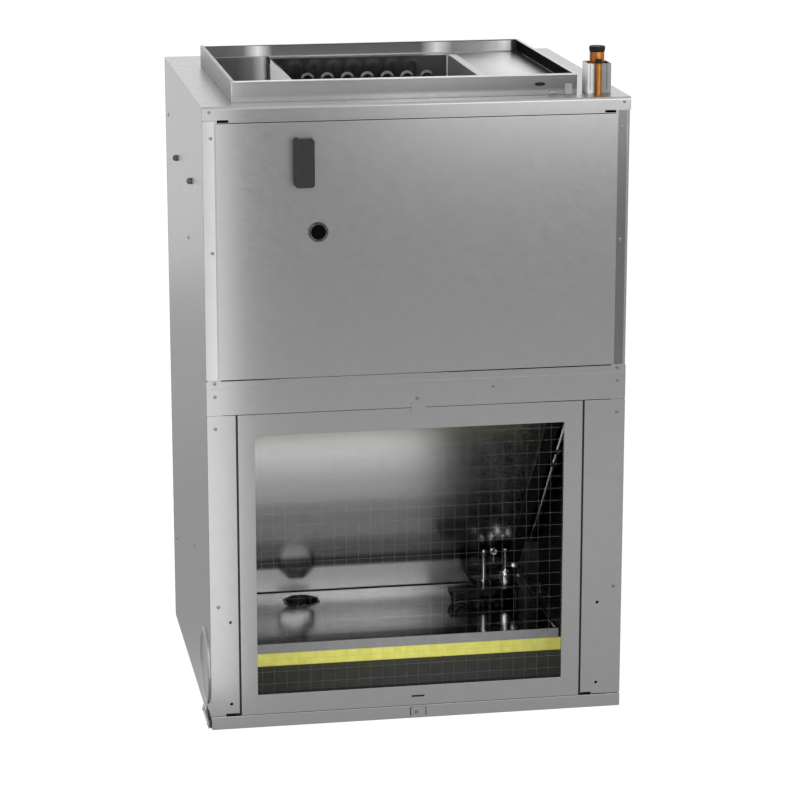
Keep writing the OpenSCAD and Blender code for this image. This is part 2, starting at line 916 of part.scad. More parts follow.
// Bar from wall to wall of the liner
module element_carrier() {
    color("gray") placed()
        translate([supply_x + fit_gap, element_y - carrier_d / 2, liner_z])
            cube([supply_w - 2 * fit_gap, carrier_d, carrier_t]);
}

// Hairpin rods that stand on the carrier
module heater_elements() {
    leg = element_top_z - element_r - element_bend_r - liner_z - carrier_t;
    first = supply_x + (supply_w - element_row_w) / 2;
    color("dimgray") placed()
        for (i = [0:element_count - 1])
            translate([first + i * element_pitch, element_y, liner_z + carrier_t]) {
                for (side = [-1, 1])
                    translate([side * element_bend_r, 0, 0])
                        cylinder(r = element_r, h = leg, $fn = 32);
                translate([0, 0, leg])
                    rotate([90, 0, 0])
                        rotate_extrude(angle = 180)
                            translate([element_bend_r, 0])
                                circle(element_r, $fn = 32);
            }
}

module suction_line() {
    color("peru") placed()
        translate([suction_x, suction_y, cabinet_h - line_down])
            cylinder(r = suction_r, h = line_down + suction_up);
}

module suction_cap() {
    color("black") placed()
        translate([suction_x, suction_y, cabinet_h + suction_up])
            cylinder(r = suction_cap_r, h = suction_cap_h);
}

module liquid_line() {
    color("peru") placed()
        translate([liquid_x, liquid_y, cabinet_h - line_down])
            cylinder(r = liquid_r, h = line_down + liquid_up);
}

module liquid_cap() {
    color("black") placed()
        translate([liquid_x, liquid_y, cabinet_h + liquid_up])
            cylinder(r = liquid_cap_r, h = liquid_cap_h);
}

// Square sleeve that stands round the suction line
module pipe_shroud() {
    color("gainsboro") placed()
        translate([suction_x - shroud_w / 2, shroud_y, cabinet_h])
            open_box(
                [shroud_w, shroud_w, shroud_h],
                [sheet_t, sheet_t],
                [shroud_w - 2 * sheet_t, shroud_w - 2 * sheet_t]
            );
}

module side_cover() {
    color("silver") placed()
        translate([-cover_out, cover_y, cover_z])
            rotate([0, 90, 0])
                cylinder(r = cover_r, h = cover_out);
}

// Angle along the foot of the left side, with its upright leg outside
module foot_bracket() {
    color("gainsboro") placed()
        translate([-foot_out, foot_y, 0])
            difference() {
                cube([foot_out, foot_len, foot_h]);
                translate([sheet_t, -cut, sheet_t])
                    cube([foot_out, foot_len + 2 * cut, foot_h]);
            }
}

base_panel();
left_side_panel();
right_side_panel();
back_panel();
top_panel();
bottom_rail();
middle_rail();
service_panel();
panel_handle();
panel_plug();
left_filler_panel();
right_filler_panel();
return_frame();
upper_clip();
lower_clip();
screen_border();
screen_wires_across();
screen_wires_upright();
pan_insulation();
drain_pan();
coil_seal();
coil_slab();
left_end_plate();
right_end_plate();
tube_channel();
coil_header();
valve_plate();
expansion_valve();
distributor_post();
capillary_loops();
drain_fitting();
duct_collar();
supply_well();
supply_deck();
supply_liner();
element_carrier();
heater_elements();
suction_line();
suction_cap();
liquid_line();
liquid_cap();
pipe_shroud();
side_cover();
foot_bracket();
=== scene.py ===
"""Looks of an upright air handling unit: a galvanised cabinet with a lift-off service panel, an open
return section with its screen, a leaning coil over its drain pan, and a supply collar on top."""

import json
import math

import bmesh
import bpy
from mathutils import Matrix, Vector


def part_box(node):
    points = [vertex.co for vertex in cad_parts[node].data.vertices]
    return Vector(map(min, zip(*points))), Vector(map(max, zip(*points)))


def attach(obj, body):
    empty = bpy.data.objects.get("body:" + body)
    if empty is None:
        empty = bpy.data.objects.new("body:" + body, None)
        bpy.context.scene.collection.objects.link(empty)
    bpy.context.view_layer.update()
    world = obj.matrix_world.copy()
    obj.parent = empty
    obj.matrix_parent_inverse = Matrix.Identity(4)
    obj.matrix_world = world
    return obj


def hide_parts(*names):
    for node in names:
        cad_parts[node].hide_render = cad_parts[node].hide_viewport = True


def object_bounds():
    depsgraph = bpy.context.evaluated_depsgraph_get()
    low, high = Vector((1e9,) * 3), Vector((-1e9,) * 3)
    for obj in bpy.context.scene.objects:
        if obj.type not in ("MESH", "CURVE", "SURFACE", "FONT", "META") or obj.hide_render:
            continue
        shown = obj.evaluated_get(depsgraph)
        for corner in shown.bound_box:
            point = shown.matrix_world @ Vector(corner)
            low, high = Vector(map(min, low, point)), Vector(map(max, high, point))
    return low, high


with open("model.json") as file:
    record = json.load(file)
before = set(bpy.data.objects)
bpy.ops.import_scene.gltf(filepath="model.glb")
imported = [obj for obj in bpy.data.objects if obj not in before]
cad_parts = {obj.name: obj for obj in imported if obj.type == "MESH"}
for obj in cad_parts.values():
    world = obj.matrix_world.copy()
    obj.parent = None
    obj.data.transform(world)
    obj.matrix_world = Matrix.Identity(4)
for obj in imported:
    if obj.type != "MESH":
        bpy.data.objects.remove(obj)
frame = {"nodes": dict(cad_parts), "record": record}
cad_low, cad_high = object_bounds()


# Places, in millimetres right of, behind and above the cabinet's front left bottom corner

MM = 0.001
CORNER = Vector((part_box("left_side_panel")[0].x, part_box("service_panel")[0].y, cad_low.z))
TO_FRONT = (0, -1, 0)
TO_BACK = (0, 1, 0)
TO_LEFT = (-1, 0, 0)
TO_RIGHT = (1, 0, 0)
UP = (0, 0, 1)


def at(place):
    """A point in the scene, from its place."""
    return CORNER + Vector(place) * MM


def sides(node):
    """The lowest and highest corner of a CAD node."""
    low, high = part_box(node)
    return (low - CORNER) / MM, (high - CORNER) / MM


def standing(node):
    """The middle of a CAD node's foot, and its height."""
    low, high = sides(node)
    return ((low.x + high.x) / 2, (low.y + high.y) / 2, low.z), high.z - low.z


CABINET_WIDTH = sides("right_side_panel")[1].x
CABINET_BACK = sides("back_panel")[1].y
SHEET = 1.2


# Camera and stage

CAMERA_PLACE = (-0.71996, -4.2219, 1.50656)
CAMERA_LOOK = (0.167318, 0.954496, -0.246866)
CAMERA_LENS = 130.1
CAMERA_SENSOR = 36.0
FLOOR_SIZE = 60.0
FLOOR_PAINT = 0.85
FLOOR_WHITE_SEEN = 0.95
FLOOR_GLOW = 1.05
SKY_LEVEL = 0.9
SKY_MIRRORED = 1.4
# How light the floor is in reflections, by its distance behind the object in metres
FLOOR_MIRRORED = (
    (-4.2, 0.40), (-3.2, 0.44), (-2.5, 0.70), (-1.9, 1.30), (-1.3, 1.15), (-0.8, 1.00), (-0.3, 0.90),
    (0.2, 0.58), (1.0, 0.57), (1.7, 0.66), (2.6, 0.64), (3.3, 1.12),
)


def grey(tone):
    return (tone, tone, tone)


def combine(nodes, links, operation, first, second):
    """One value from two, each a number or another node's output."""
    node = nodes.new("ShaderNodeMath")
    node.operation = operation
    for socket, value in zip(node.inputs, (first, second)):
        if isinstance(value, float):
            socket.default_value = value
        else:
            links.new(value, socket)
    return node.outputs[0]


def light_path(nodes, links):
    """Two values: 1 for camera rays, and 1 for glossy and transmission rays."""
    path = nodes.new("ShaderNodeLightPath")
    glossy, passing = path.outputs["Is Glossy Ray"], path.outputs["Is Transmission Ray"]
    return path.outputs["Is Camera Ray"], combine(nodes, links, "MAXIMUM", glossy, passing)


def between(nodes, links, value, low, high):
    """A number from low to high as the value goes from 0 to 1."""
    mapped = nodes.new("ShaderNodeMapRange")
    links.new(value, mapped.inputs["Value"])
    for socket, number in (("To Min", low), ("To Max", high)):
        if isinstance(number, float):
            mapped.inputs[socket].default_value = number
        else:
            links.new(number, mapped.inputs[socket])
    return mapped.outputs[0]


def tone_along(nodes, links, axis, stops):
    """A tone that changes along an axis of the piece, through stops of a place in metres and a tone."""
    first, last = stops[0][0], stops[-1][0]
    most = max(level for distance, level in stops)
    place = nodes.new("ShaderNodeTexCoord")
    parts = nodes.new("ShaderNodeSeparateXYZ")
    share = nodes.new("ShaderNodeMapRange")
    share.inputs["From Min"].default_value = first
    share.inputs["From Max"].default_value = last
    ramp = nodes.new("ShaderNodeValToRGB")
    steps = ramp.color_ramp.elements
    while len(steps) < len(stops):
        steps.new(0.5)
    for step, (distance, level) in zip(steps, stops):
        step.position = (distance - first) / (last - first)
        step.color = (*grey(level / most), 1)
    links.new(place.outputs["Object"], parts.inputs[0])
    links.new(parts.outputs[axis], share.inputs["Value"])
    links.new(share.outputs[0], ramp.inputs["Fac"])
    return combine(nodes, links, "MULTIPLY", ramp.outputs["Color"], float(most))


def make_camera():
    camera = bpy.data.cameras.new("camera")
    camera.lens = CAMERA_LENS
    camera.sensor_width = CAMERA_SENSOR
    holder = bpy.data.objects.new("camera", camera)
    holder.location = CAMERA_PLACE
    holder.rotation_euler = Vector(CAMERA_LOOK).to_track_quat("-Z", "Y").to_euler()
    bpy.context.scene.collection.objects.link(holder)
    bpy.context.scene.camera = holder


def make_world():
    """A white sky, a little brighter where it is seen or mirrored."""
    world = bpy.data.worlds.new("studio")
    world.use_nodes = True
    bpy.context.scene.world = world
    nodes, links = world.node_tree.nodes, world.node_tree.links
    seen = combine(nodes, links, "MAXIMUM", *light_path(nodes, links))
    background = nodes["Background"]
    background.inputs["Color"].default_value = (1, 1, 1, 1)
    links.new(between(nodes, links, seen, SKY_LEVEL, SKY_MIRRORED), background.inputs["Strength"])


def make_floor():
    """A pale floor that keeps the shadow, near white to the camera and toned in reflections."""
    bpy.ops.mesh.primitive_plane_add(size=FLOOR_SIZE, location=(0, 0, cad_low.z))
    floor = bpy.context.object
    floor.name = "floor"
    material = bpy.data.materials.new("pale_floor")
    material.use_nodes = True
    nodes, links = material.node_tree.nodes, material.node_tree.links
    nodes.remove(nodes["Principled BSDF"])
    matte = nodes.new("ShaderNodeBsdfDiffuse")
    matte.inputs["Color"].default_value = (*grey(FLOOR_PAINT), 1)
    white = nodes.new("ShaderNodeEmission")
    camera, bounced = light_path(nodes, links)
    strength = between(nodes, links, camera, tone_along(nodes, links, "Y", FLOOR_MIRRORED), FLOOR_GLOW)
    links.new(strength, white.inputs["Strength"])
    seen = combine(nodes, links, "MULTIPLY", camera, FLOOR_WHITE_SEEN)
    mix = nodes.new("ShaderNodeMixShader")
    links.new(combine(nodes, links, "MAXIMUM", seen, bounced), mix.inputs[0])
    links.new(matte.outputs[0], mix.inputs[1])
    links.new(white.outputs[0], mix.inputs[2])
    links.new(mix.outputs[0], nodes["Material Output"].inputs["Surface"])
    floor.data.materials.append(material)


def soft_lamp(name, place, target, size, watts, mirrored=True):
    """A soft lamp of width and height size that faces the target and isn't itself seen."""
    lamp = bpy.data.lights.new(name, "AREA")
    lamp.shape = "RECTANGLE"
    lamp.size, lamp.size_y = size
    lamp.energy = watts
    holder = bpy.data.objects.new(name, lamp)
    holder.location = place
    holder.rotation_euler = (Vector(target) - Vector(place)).to_track_quat("-Z", "Y").to_euler()
    holder.visible_camera = False
    holder.visible_glossy = mirrored
    bpy.context.scene.collection.objects.link(holder)


def make_lamps():
    """A key lamp, two that brighten the front's right and left ends, and one for the foam under the pan."""
    soft_lamp("key_lamp", place=(-2.2, -2.6, 3.0), target=(0, 0, 0.5), size=(2.0, 2.0), watts=40)
    soft_lamp("right_lamp", place=(0.45, -0.97, 1.02), target=(0.3, -0.27, 0.9), size=(0.75, 0.45), watts=3.1)
    soft_lamp(
        "left_strip", place=(-0.35, -0.42, 0.46), target=(-0.35, -0.27, 0.46), size=(0.20, 1.0), watts=0.9
    )
    soft_lamp(
        "foam_lamp", place=(0.0, -0.75, 0.21), target=(0.0, -0.02, 0.03), size=(0.5, 0.15), watts=3.2,
        mirrored=False
    )


bpy.ops.object.select_all(action="DESELECT")
make_camera()
make_world()
make_floor()
make_lamps()
bpy.context.scene.view_settings.view_transform = "Standard"


# Finishes, all patterned on the pieces' own Object coordinates

SPANGLE_SCALE = 55.0
# Rolling lines that lie level, and ones that run across the width
LEVEL_LINES = (1, 1, 12)
UPRIGHT_LINES = (12, 1, 1)


def new_finish(name):
    """A material, its nodes and links, and its shader."""
    material = bpy.data.materials.new(name)
    material.use_nodes = True
    nodes, links = material.node_tree.nodes, material.node_tree.links
    return material, nodes, links, nodes["Principled BSDF"]


def noise(nodes, links, scale, stretch=(1, 1, 1), detail=3.0):
    """A noise value over the piece, finer along an axis by a large stretch."""
    place = nodes.new("ShaderNodeTexCoord")
    mapping = nodes.new("ShaderNodeMapping")
    mapping.inputs["Scale"].default_value = stretch
    texture = nodes.new("ShaderNodeTexNoise")
    texture.inputs["Scale"].default_value = scale
    texture.inputs["Detail"].default_value = detail
    links.new(place.outputs["Object"], mapping.inputs["Vector"])
    links.new(mapping.outputs["Vector"], texture.inputs["Vector"])
    return texture.outputs["Fac"]


def spread(nodes, links, value, low, high):
    """The value's middle range spread between two numbers."""
    mapped = nodes.new("ShaderNodeMapRange")
    mapped.inputs["From Min"].default_value = 0.3
    mapped.inputs["From Max"].default_value = 0.7
    mapped.inputs["To Min"].default_value = low
    mapped.inputs["To Max"].default_value = high
    links.new(value, mapped.inputs["Value"])
    return mapped.outputs[0]


def tint(nodes, links, value, dark, light):
    """A colour between two, by a value."""
    ramp = nodes.new("ShaderNodeValToRGB")
    ramp.color_ramp.elements[0].position = 0.3
    ramp.color_ramp.elements[0].color = (*dark, 1)
    ramp.color_ramp.elements[1].position = 0.7
    ramp.color_ramp.elements[1].color = (*light, 1)
    links.new(value, ramp.inputs["Fac"])
    return ramp.outputs["Color"]


def relief(nodes, links, shader, value, depth, strength):
    """Fine bumps of a depth in metres."""
    bump = nodes.new("ShaderNodeBump")
    bump.inputs["Distance"].default_value = depth
    bump.inputs["Strength"].default_value = strength
    links.new(value, bump.inputs["Height"])
    links.new(bump.outputs[0], shader.inputs["Normal"])


def sheet_metal(name, tone, roughness, lines, lines_strength=0.0):
    """Rolled sheet: a faint spangle in the tone, fine lines in the gloss and, where set, in the relief."""
    material, nodes, links, shader = new_finish(name)
    shader.inputs["Metallic"].default_value = 1.0
    spangle = noise(nodes, links, SPANGLE_SCALE, detail=4.0)
    links.new(tint(nodes, links, spangle, grey(0.98 * tone), grey(1.02 * tone)), shader.inputs["Base Color"])
    gloss = noise(nodes, links, 90.0, lines)
    links.new(spread(nodes, links, gloss, roughness - 0.04, roughness + 0.04), shader.inputs["Roughness"])
    if lines_strength:
        relief(nodes, links, shader, noise(nodes, links, 700.0, lines), 0.0002, lines_strength)
    return material


def painted_light_sheet(name, axis, stops, roughness):
    """Sheet with painted light and shade: its tone changes along an axis, with a faint spangle."""
    material, nodes, links, shader = new_finish(name)
    shader.inputs["Metallic"].default_value = 1.0
    shader.inputs["Roughness"].default_value = roughness
    spangle = spread(nodes, links, noise(nodes, links, SPANGLE_SCALE, detail=4.0), 0.98, 1.02)
    tone = combine(nodes, links, "MULTIPLY", tone_along(nodes, links, axis, stops), spangle)
    links.new(tone, shader.inputs["Base Color"])
    return material


def bare_metal(name, dark, light, roughness):
    """Drawn or machined metal with a little tarnish."""
    material, nodes, links, shader = new_finish(name)
    shader.inputs["Metallic"].default_value = 1.0
    tarnish = noise(nodes, links, 60.0)
    links.new(tint(nodes, links, tarnish, dark, light), shader.inputs["Base Color"])
    links.new(spread(nodes, links, tarnish, roughness - 0.05, roughness + 0.08), shader.inputs["Roughness"])
    return material


def moulded(name, dark, light, roughness, grain_scale, grain_depth, gloss):
    """Plastic, rubber, foam or coating with a fine grain."""
    material, nodes, links, shader = new_finish(name)
    shader.inputs["Specular IOR Level"].default_value = gloss
    mottle = noise(nodes, links, 80.0)
    links.new(tint(nodes, links, mottle, dark, light), shader.inputs["Base Color"])
    links.new(spread(nodes, links, mottle, roughness - 0.05, roughness + 0.05), shader.inputs["Roughness"])
    relief(nodes, links, shader, noise(nodes, links, grain_scale), grain_depth, 0.4)
    return material


def coating(name, dark, light):
    """A thin matte coating on sheet."""
    return moulded(name, grey(dark), grey(light), 0.5, 500.0, 0.0001, 0.3)


# Painted reflections and shade on the coil's face, by its height: a painted bright strip at the foot, a
# painted dark band over it, paler above
COIL_PAINTED_TONES = (
    (0.07, 1.0), (0.09, 1.0), (0.098, 0.12), (0.113, 0.10), (0.125, 0.62), (0.142, 1.0), (0.157, 0.96),
    (0.175, 0.82), (0.19, 0.66), (0.21, 0.60), (0.235, 0.69), (0.25, 0.90), (0.265, 1.0), (0.33, 1.0),
)
# Painted shade on the drain pan, from its front lip to the coil's foot: lightest at the lip and darker
# towards the coil
PAN_PAINTED_SHADE = ((-0.02, 1.0), (0.01, 0.70), (0.06, 0.44), (0.12, 0.30), (0.17, 0.34), (0.19, 0.42))
# Painted light and shade on the deck beside the supply opening, from left to right: darker at both ends
DECK_PAINTED_LIGHT = ((0.13, 0.22), (0.165, 0.40), (0.185, 0.48), (0.205, 0.42), (0.23, 0.16))
# Painted shade and a painted reflection in the well, from the collar to the liner: brightest next to the
# liner
WELL_PAINTED_LIGHT = ((-0.253, 0.42), (-0.205, 0.24), (-0.182, 0.32), (-0.166, 0.9))
# Painted light on the collar's inner back wall, from left to right: three painted bright streaks of
# reflection
INNER_PAINTED_STREAKS = (
    (-0.22, 0.15), (-0.195, 0.20), (-0.172, 0.95), (-0.15, 0.16), (0.08, 0.12), (0.105, 0.65), (0.13, 0.16),
    (0.175, 0.22), (0.20, 0.45), (0.213, 0.85), (0.221, 0.85), (0.2235, 0.08), (0.23, 0.05),
)
# Painted light and shade on the collar's outside, the left post and the shroud, from left to right
COLLAR_PAINTED_LIGHT = ((-0.26, 0.60), (0.23, 0.15))
POST_PAINTED_LIGHT = ((-0.3045, 0.29), (-0.2886, 0.36))
SHROUD_PAINTED_LIGHT = ((0.25, 0.36), (0.268, 0.34), (0.27, 0.11), (0.284, 0.15))

FINISH = {
    "cabinet_steel": sheet_metal("galvanised_sheet", 0.28, 0.33, LEVEL_LINES, 0.06),
    "inner_steel": sheet_metal("bright_sheet", 0.80, 0.13, UPRIGHT_LINES),
    # Painted reflections and shade up the coil's face
    "coil_metal": painted_light_sheet("coil_face_painted_light", "Z", COIL_PAINTED_TONES, 0.20),
    "dark_steel": bare_metal("dark_steel", grey(0.02), grey(0.03), 0.4),
    "copper": bare_metal("copper_tube", (0.30, 0.11, 0.023), (0.37, 0.14, 0.034), 0.34),
    "valve_metal": bare_metal("bright_machined", grey(0.55), grey(0.68), 0.15),
    "screen_wire": bare_metal("drawn_wire", grey(0.20), grey(0.24), 0.5),
    "black_plastic": moulded("moulded_black", grey(0.006), grey(0.010), 0.3, 900.0, 0.00005, 0.5),
    "black_rubber": moulded("rubber_black", grey(0.004), grey(0.008), 0.6, 700.0, 0.0002, 0.15),
    "yellow_foam": moulded("cut_foam", (0.66, 0.64, 0.14), (0.76, 0.74, 0.18), 0.9, 500.0, 0.0006, 0.1),
}
NODE_FINISH = {
    # The base panel has a dark matte finish, darker than the cabinet's sheet
    "base_panel": moulded("base_dark_matte", grey(0.045), grey(0.06), 0.8, 300.0, 0.0003, 0.1),
    "heater_elements": bare_metal("heater_rod", grey(0.07), grey(0.11), 0.35),
    # Painted shade along the drain pan
    "drain_pan": painted_light_sheet("pan_sheet_painted_shade", "Y", PAN_PAINTED_SHADE, 0.12),
    # Painted light and shade across the deck
    "supply_deck": painted_light_sheet("deck_sheet_painted_light", "X", DECK_PAINTED_LIGHT, 0.28),
    # Painted shade and a painted reflection across the well
    "supply_well": painted_light_sheet("well_sheet_painted_light", "X", WELL_PAINTED_LIGHT, 0.18),
    "supply_liner": sheet_metal("liner_sheet", 0.40, 0.15, UPRIGHT_LINES),
    "right_end_plate": moulded("end_plate_black", grey(0.004), grey(0.007), 0.6, 700.0, 0.0002, 0.1),
}
# Painted light across the left post's front
POST_PAINTED_FINISH = painted_light_sheet("post_sheet_painted_light", "X", POST_PAINTED_LIGHT, 0.33)
# The cabinet's sheet painted darker, as shade on recessed and shaded parts
PAINTED_SHADE_FINISH = sheet_metal("painted_shade_sheet", 0.15, 0.33, LEVEL_LINES)
# Painted light on the collar, lighter on the left than on the right
COLLAR_PAINTED_FINISH = painted_light_sheet("collar_sheet_painted_light", "X", COLLAR_PAINTED_LIGHT, 0.2)
# A painted highlight along the collar's front bead
BEAD_HIGHLIGHT_FINISH = sheet_metal("collar_bead_painted_highlight", 0.45, 0.3, UPRIGHT_LINES)
# Painted bright streaks of reflection on the collar's inner back wall
PAINTED_STREAK_FINISH = painted_light_sheet("inner_sheet_painted_streaks", "X", INNER_PAINTED_STREAKS, 0.40)
# Painted light and shade on the shroud, lighter on the left
SHROUD_PAINTED_FINISH = painted_light_sheet("shroud_sheet_painted_light", "X", SHROUD_PAINTED_LIGHT, 0.4)
# A white coating that paints the reflection of the white sky on the liner's left wall
PAINTED_REFLECTION_FINISH = coating("white_painted_reflection", 0.90, 0.94)
# A pale coating that paints light on the shroud's left face and a highlight on the liner's corner
PAINTED_LIGHT_FINISH = coating("pale_painted_light", 0.70, 0.76)
FLANGE_FINISH = coating("flange_coating", 0.46, 0.50)
LIP_FINISH = coating("lip_coating", 0.24, 0.27)
# A dark coating that paints shade on the liner's right wall
PAINTED_SHADE_COATING = coating("inside_painted_shade", 0.09, 0.11)
PLUG_FINISH = moulded("plug_rubber", grey(0.05), grey(0.07), 0.5, 700.0, 0.0001, 0.3)
HANDLE_FINISH = moulded("handle_plastic", grey(0.023), grey(0.026), 0.6, 900.0, 0.00005, 0.05)
DISH_FINISH = moulded("plug_dish", grey(0.001), grey(0.002), 0.8, 700.0, 0.0002, 0.02)

for part in frame["record"]["subparts"]:
    node = frame["nodes"][part["node"]]
    node.data.materials.clear()
    node.data.materials.append(NODE_FINISH.get(part["node"], FINISH[part["material_slot"]]))


# Ways of making a piece with the editor's own tools, in millimetres

def settle(name):
    """Names the new piece and moves its place and turn into its mesh."""
    piece = bpy.context.object
    piece.name = name
    bpy.ops.object.transform_apply(location=True, rotation=True, scale=True)
    return piece


def block(name, low, high):
    """A block between two corners."""
    low, high = at(low), at(high)
    bpy.ops.object.select_all(action="DESELECT")
    bpy.ops.mesh.primitive_cube_add(size=1, location=(low + high) / 2, scale=high - low)
    return settle(name)


def rod(name, centre, radius, length, axis, corners=32, turn=0.0):
    """A round or many-sided rod along an axis, with its middle at the centre."""
    lie = {"X": (0, math.pi / 2, turn), "Y": (math.pi / 2, turn, 0), "Z": (0, 0, turn)}[axis]
    bpy.ops.object.select_all(action="DESELECT")
    bpy.ops.mesh.primitive_cylinder_add(
        vertices=corners, radius=radius * MM, depth=length * MM, location=at(centre), rotation=lie
    )
    return settle(name)


def turned(name, centre, axis, profile, steps=40):
    """A piece turned about an axis through the centre. The profile is radii and distances along it."""
    axis = Vector(axis)
    across = axis.orthogonal().normalized()
    points = [at(centre) + (across * radius + axis * along) * MM for radius, along in profile]
    bpy.ops.object.select_all(action="DESELECT")
    bpy.ops.mesh.primitive_plane_add(size=MM, location=points[0])
    piece = settle(name)
    bpy.ops.object.mode_set(mode="EDIT")
    bpy.ops.mesh.select_mode(type="VERT")
    bpy.ops.mesh.select_all(action="SELECT")
    bpy.ops.mesh.merge(type="CENTER")
    for start, end in zip(points, points[1:]):
        bpy.ops.mesh.extrude_vertices_move(TRANSFORM_OT_translate={"value": end - start})
    bpy.ops.mesh.select_all(action="SELECT")
    bpy.ops.mesh.spin(steps=steps, angle=2 * math.pi, center=at(centre), axis=axis)
    bpy.ops.mesh.select_all(action="SELECT")
    bpy.ops.mesh.remove_doubles(threshold=0.01 * MM)
    bpy.ops.mesh.normals_make_consistent(inside=False)
    bpy.ops.object.mode_set(mode="OBJECT")
    return piece


def hoop(name, centre, axis, start, ring_radius, tube_radius, angle):
    """A bent tube: a circle swept about an axis through the centre, from the start direction."""
    axis, start = Vector(axis), Vector(start)
    bpy.ops.object.select_all(action="DESELECT")
    bpy.ops.mesh.primitive_circle_add(
        vertices=12, radius=tube_radius * MM, fill_type="NGON",
        location=at(centre) + start * ring_radius * MM,
        rotation=axis.cross(start).to_track_quat("Z", "Y").to_euler()
    )
    piece = settle(name)
    bpy.ops.object.mode_set(mode="EDIT")
    bpy.ops.mesh.select_all(action="SELECT")
    bpy.ops.mesh.spin(steps=20, angle=angle, center=at(centre), axis=axis)
    bpy.ops.mesh.select_all(action="SELECT")
    bpy.ops.mesh.normals_make_consistent(inside=False)
    bpy.ops.object.mode_set(mode="OBJECT")
    return piece


def pick(piece):
    """Makes the piece the only one that the next tool works on."""
    bpy.ops.object.select_all(action="DESELECT")
    piece.select_set(True)
    bpy.context.view_layer.objects.active = piece


def open_edit(piece, kind):
    """Opens the piece for editing its corners or edges, with none chosen."""
    pick(piece)
    bpy.ops.object.mode_set(mode="EDIT")
    bpy.ops.mesh.select_mode(type=kind)
    bpy.ops.mesh.select_all(action="DESELECT")
    return bmesh.from_edit_mesh(piece.data)


def choose_corners(piece, test):
    """Opens the piece for editing with those corners chosen whose place passes the test."""
    mesh = open_edit(piece, "VERT")
    for corner in mesh.verts:
        if test((corner.co - CORNER) / MM):
            corner.select_set(True)
    bmesh.update_edit_mesh(piece.data)


def choose_edges(piece, test):
    """Opens the piece for editing with those edges chosen whose direction passes the test."""
    mesh = open_edit(piece, "EDGE")
    for edge in mesh.edges:
        start, end = edge.verts
        if test((end.co - start.co).normalized()):
            edge.select_set(True)
    bmesh.update_edit_mesh(piece.data)


def close_edit():
    bpy.ops.object.mode_set(mode="OBJECT")


def apply_to(piece, modifier):
    pick(piece)
    bpy.ops.object.modifier_apply(modifier=modifier.name)


def soften(piece, width, steps=2):
    """Rounds the piece's edges."""
    bevel = piece.modifiers.new("soft_edges", "BEVEL")
    bevel.width = width * MM
    bevel.segments = steps
    bevel.limit_method = "ANGLE"
    apply_to(piece, bevel)


def cut_away(piece, *tools):
    """Cuts the tools' shapes out of the piece, and removes the tools."""
    for tool in tools:
        cut = piece.modifiers.new("cut", "BOOLEAN")
        cut.operation = "DIFFERENCE"
        cut.solver = "EXACT"
        cut.object = tool
        apply_to(piece, cut)
        bpy.data.objects.remove(tool)


def join(name, pieces):
    bpy.ops.object.select_all(action="DESELECT")
    for piece in pieces:
        piece.select_set(True)
    bpy.context.view_layer.objects.active = pieces[0]
    bpy.ops.object.join()
    pieces[0].name = name
    return pieces[0]


def done(piece, slot, *nodes, finish=None):
    """Gives the piece its finish and its place in the assembly, and hides the CAD nodes it stands for."""
    pick(piece)
    bpy.ops.object.shade_smooth_by_angle(angle=math.radians(35))
    even = piece.modifiers.new("even_normals", "WEIGHTED_NORMAL")
    even.keep_sharp = True
    apply_to(piece, even)
    piece.data.materials.clear()
    piece.data.materials.append(finish or FINISH[slot])
    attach(piece, "root")
    if nodes:
        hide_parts(*nodes)


def thin_plate(name, low, high, slot, finish=None, edge=0.1):
    """A plain plate with its edges eased."""
    plate = block(name, low, high)
    soften(plate, edge, 1)
    done(plate, slot, finish=finish)


# Front sheets

PANEL_TOP = 889.0
PANEL_FOOT_GAP = 0.7
LIP_FOOT = 884.0
LIP_LEFT, LIP_RIGHT = 37.0, 573.0
LOW_LIP_TOP = 890.4
LOW_LIP_INSET = 2.0
HANDLE_CORNER = 5.0
PLUG_FLOOR = 1.5
# How far a cutting tool reaches through a sheet
THROUGH = 10.0
FILLER_HOLE_RADIUS = 2.3
FILLER_HOLE_ROWS = (38.0, 163.0)
# Each filler's column of holes, and where the notch in its foot starts and ends
FILLERS = {
    "left_filler_panel": (29.3, 15.0, 42.0),
    "right_filler_panel": (573.7, 549.0, 566.0),
}
NOTCH_HEIGHT = 3.0
OPENING_LEFT, OPENING_RIGHT = 68.0, 520.0
OPENING_FOOT, OPENING_TOP = 49.5, 440.5
FRAME_OVERLAP = 0.8
SLIT_LEFT, SLIT_RIGHT = 295.5, 314.5
SLIT_FOOT, SLIT_TOP = 32.0, 34.8
EDGE_FRONT, EDGE_BACK = 1.0, 3.4
STEP_FOOT = 511.0
STEP_OVERLAP = 0.5
STEP_SETBACK = 0.5
POST_FOOT, POST_TOP = 523.5, 893.5
POST_SETBACK = 1.0
LEFT_POST_EDGE = 17.4
LEFT_POST_DEPTH = 4.2
RIGHT_POST_EDGES = (592.6, 605.5)
CLIP_SLOT_WIDTH = 1.2
CLIP_SLOT_GAP = 0.4


def make_service_panel():
    """A flat sheet with lips behind its top edge, and a thin black strip over it that paints the shadow line
    under the apron.
    """
    low, high = sides("service_panel")
    sheet = block("panel_sheet", (low.x, low.y, low.z + PANEL_FOOT_GAP), (high.x, low.y + SHEET, PANEL_TOP))
    soften(sheet, 0.5)
    left, right = low.x + LOW_LIP_INSET, high.x - LOW_LIP_INSET
    lip = block("panel_lip", (LIP_LEFT, SHEET, LIP_FOOT), (LIP_RIGHT, high.y, high.z))
    low_lip = block("low_lip", (left, SHEET, LIP_FOOT), (right, high.y, LOW_LIP_TOP))
    for piece in (lip, low_lip):
        soften(piece, 0.4)
    done(join("service_panel_sheet", [sheet, lip, low_lip]), "cabinet_steel", "service_panel")
    # A black strip that paints the shadow line at the panel's top
    thin_plate("panel_shadow_line", (left, 0.9, PANEL_TOP - 0.1), (right, 1.3, PANEL_TOP + 0.8), "black_rubber")


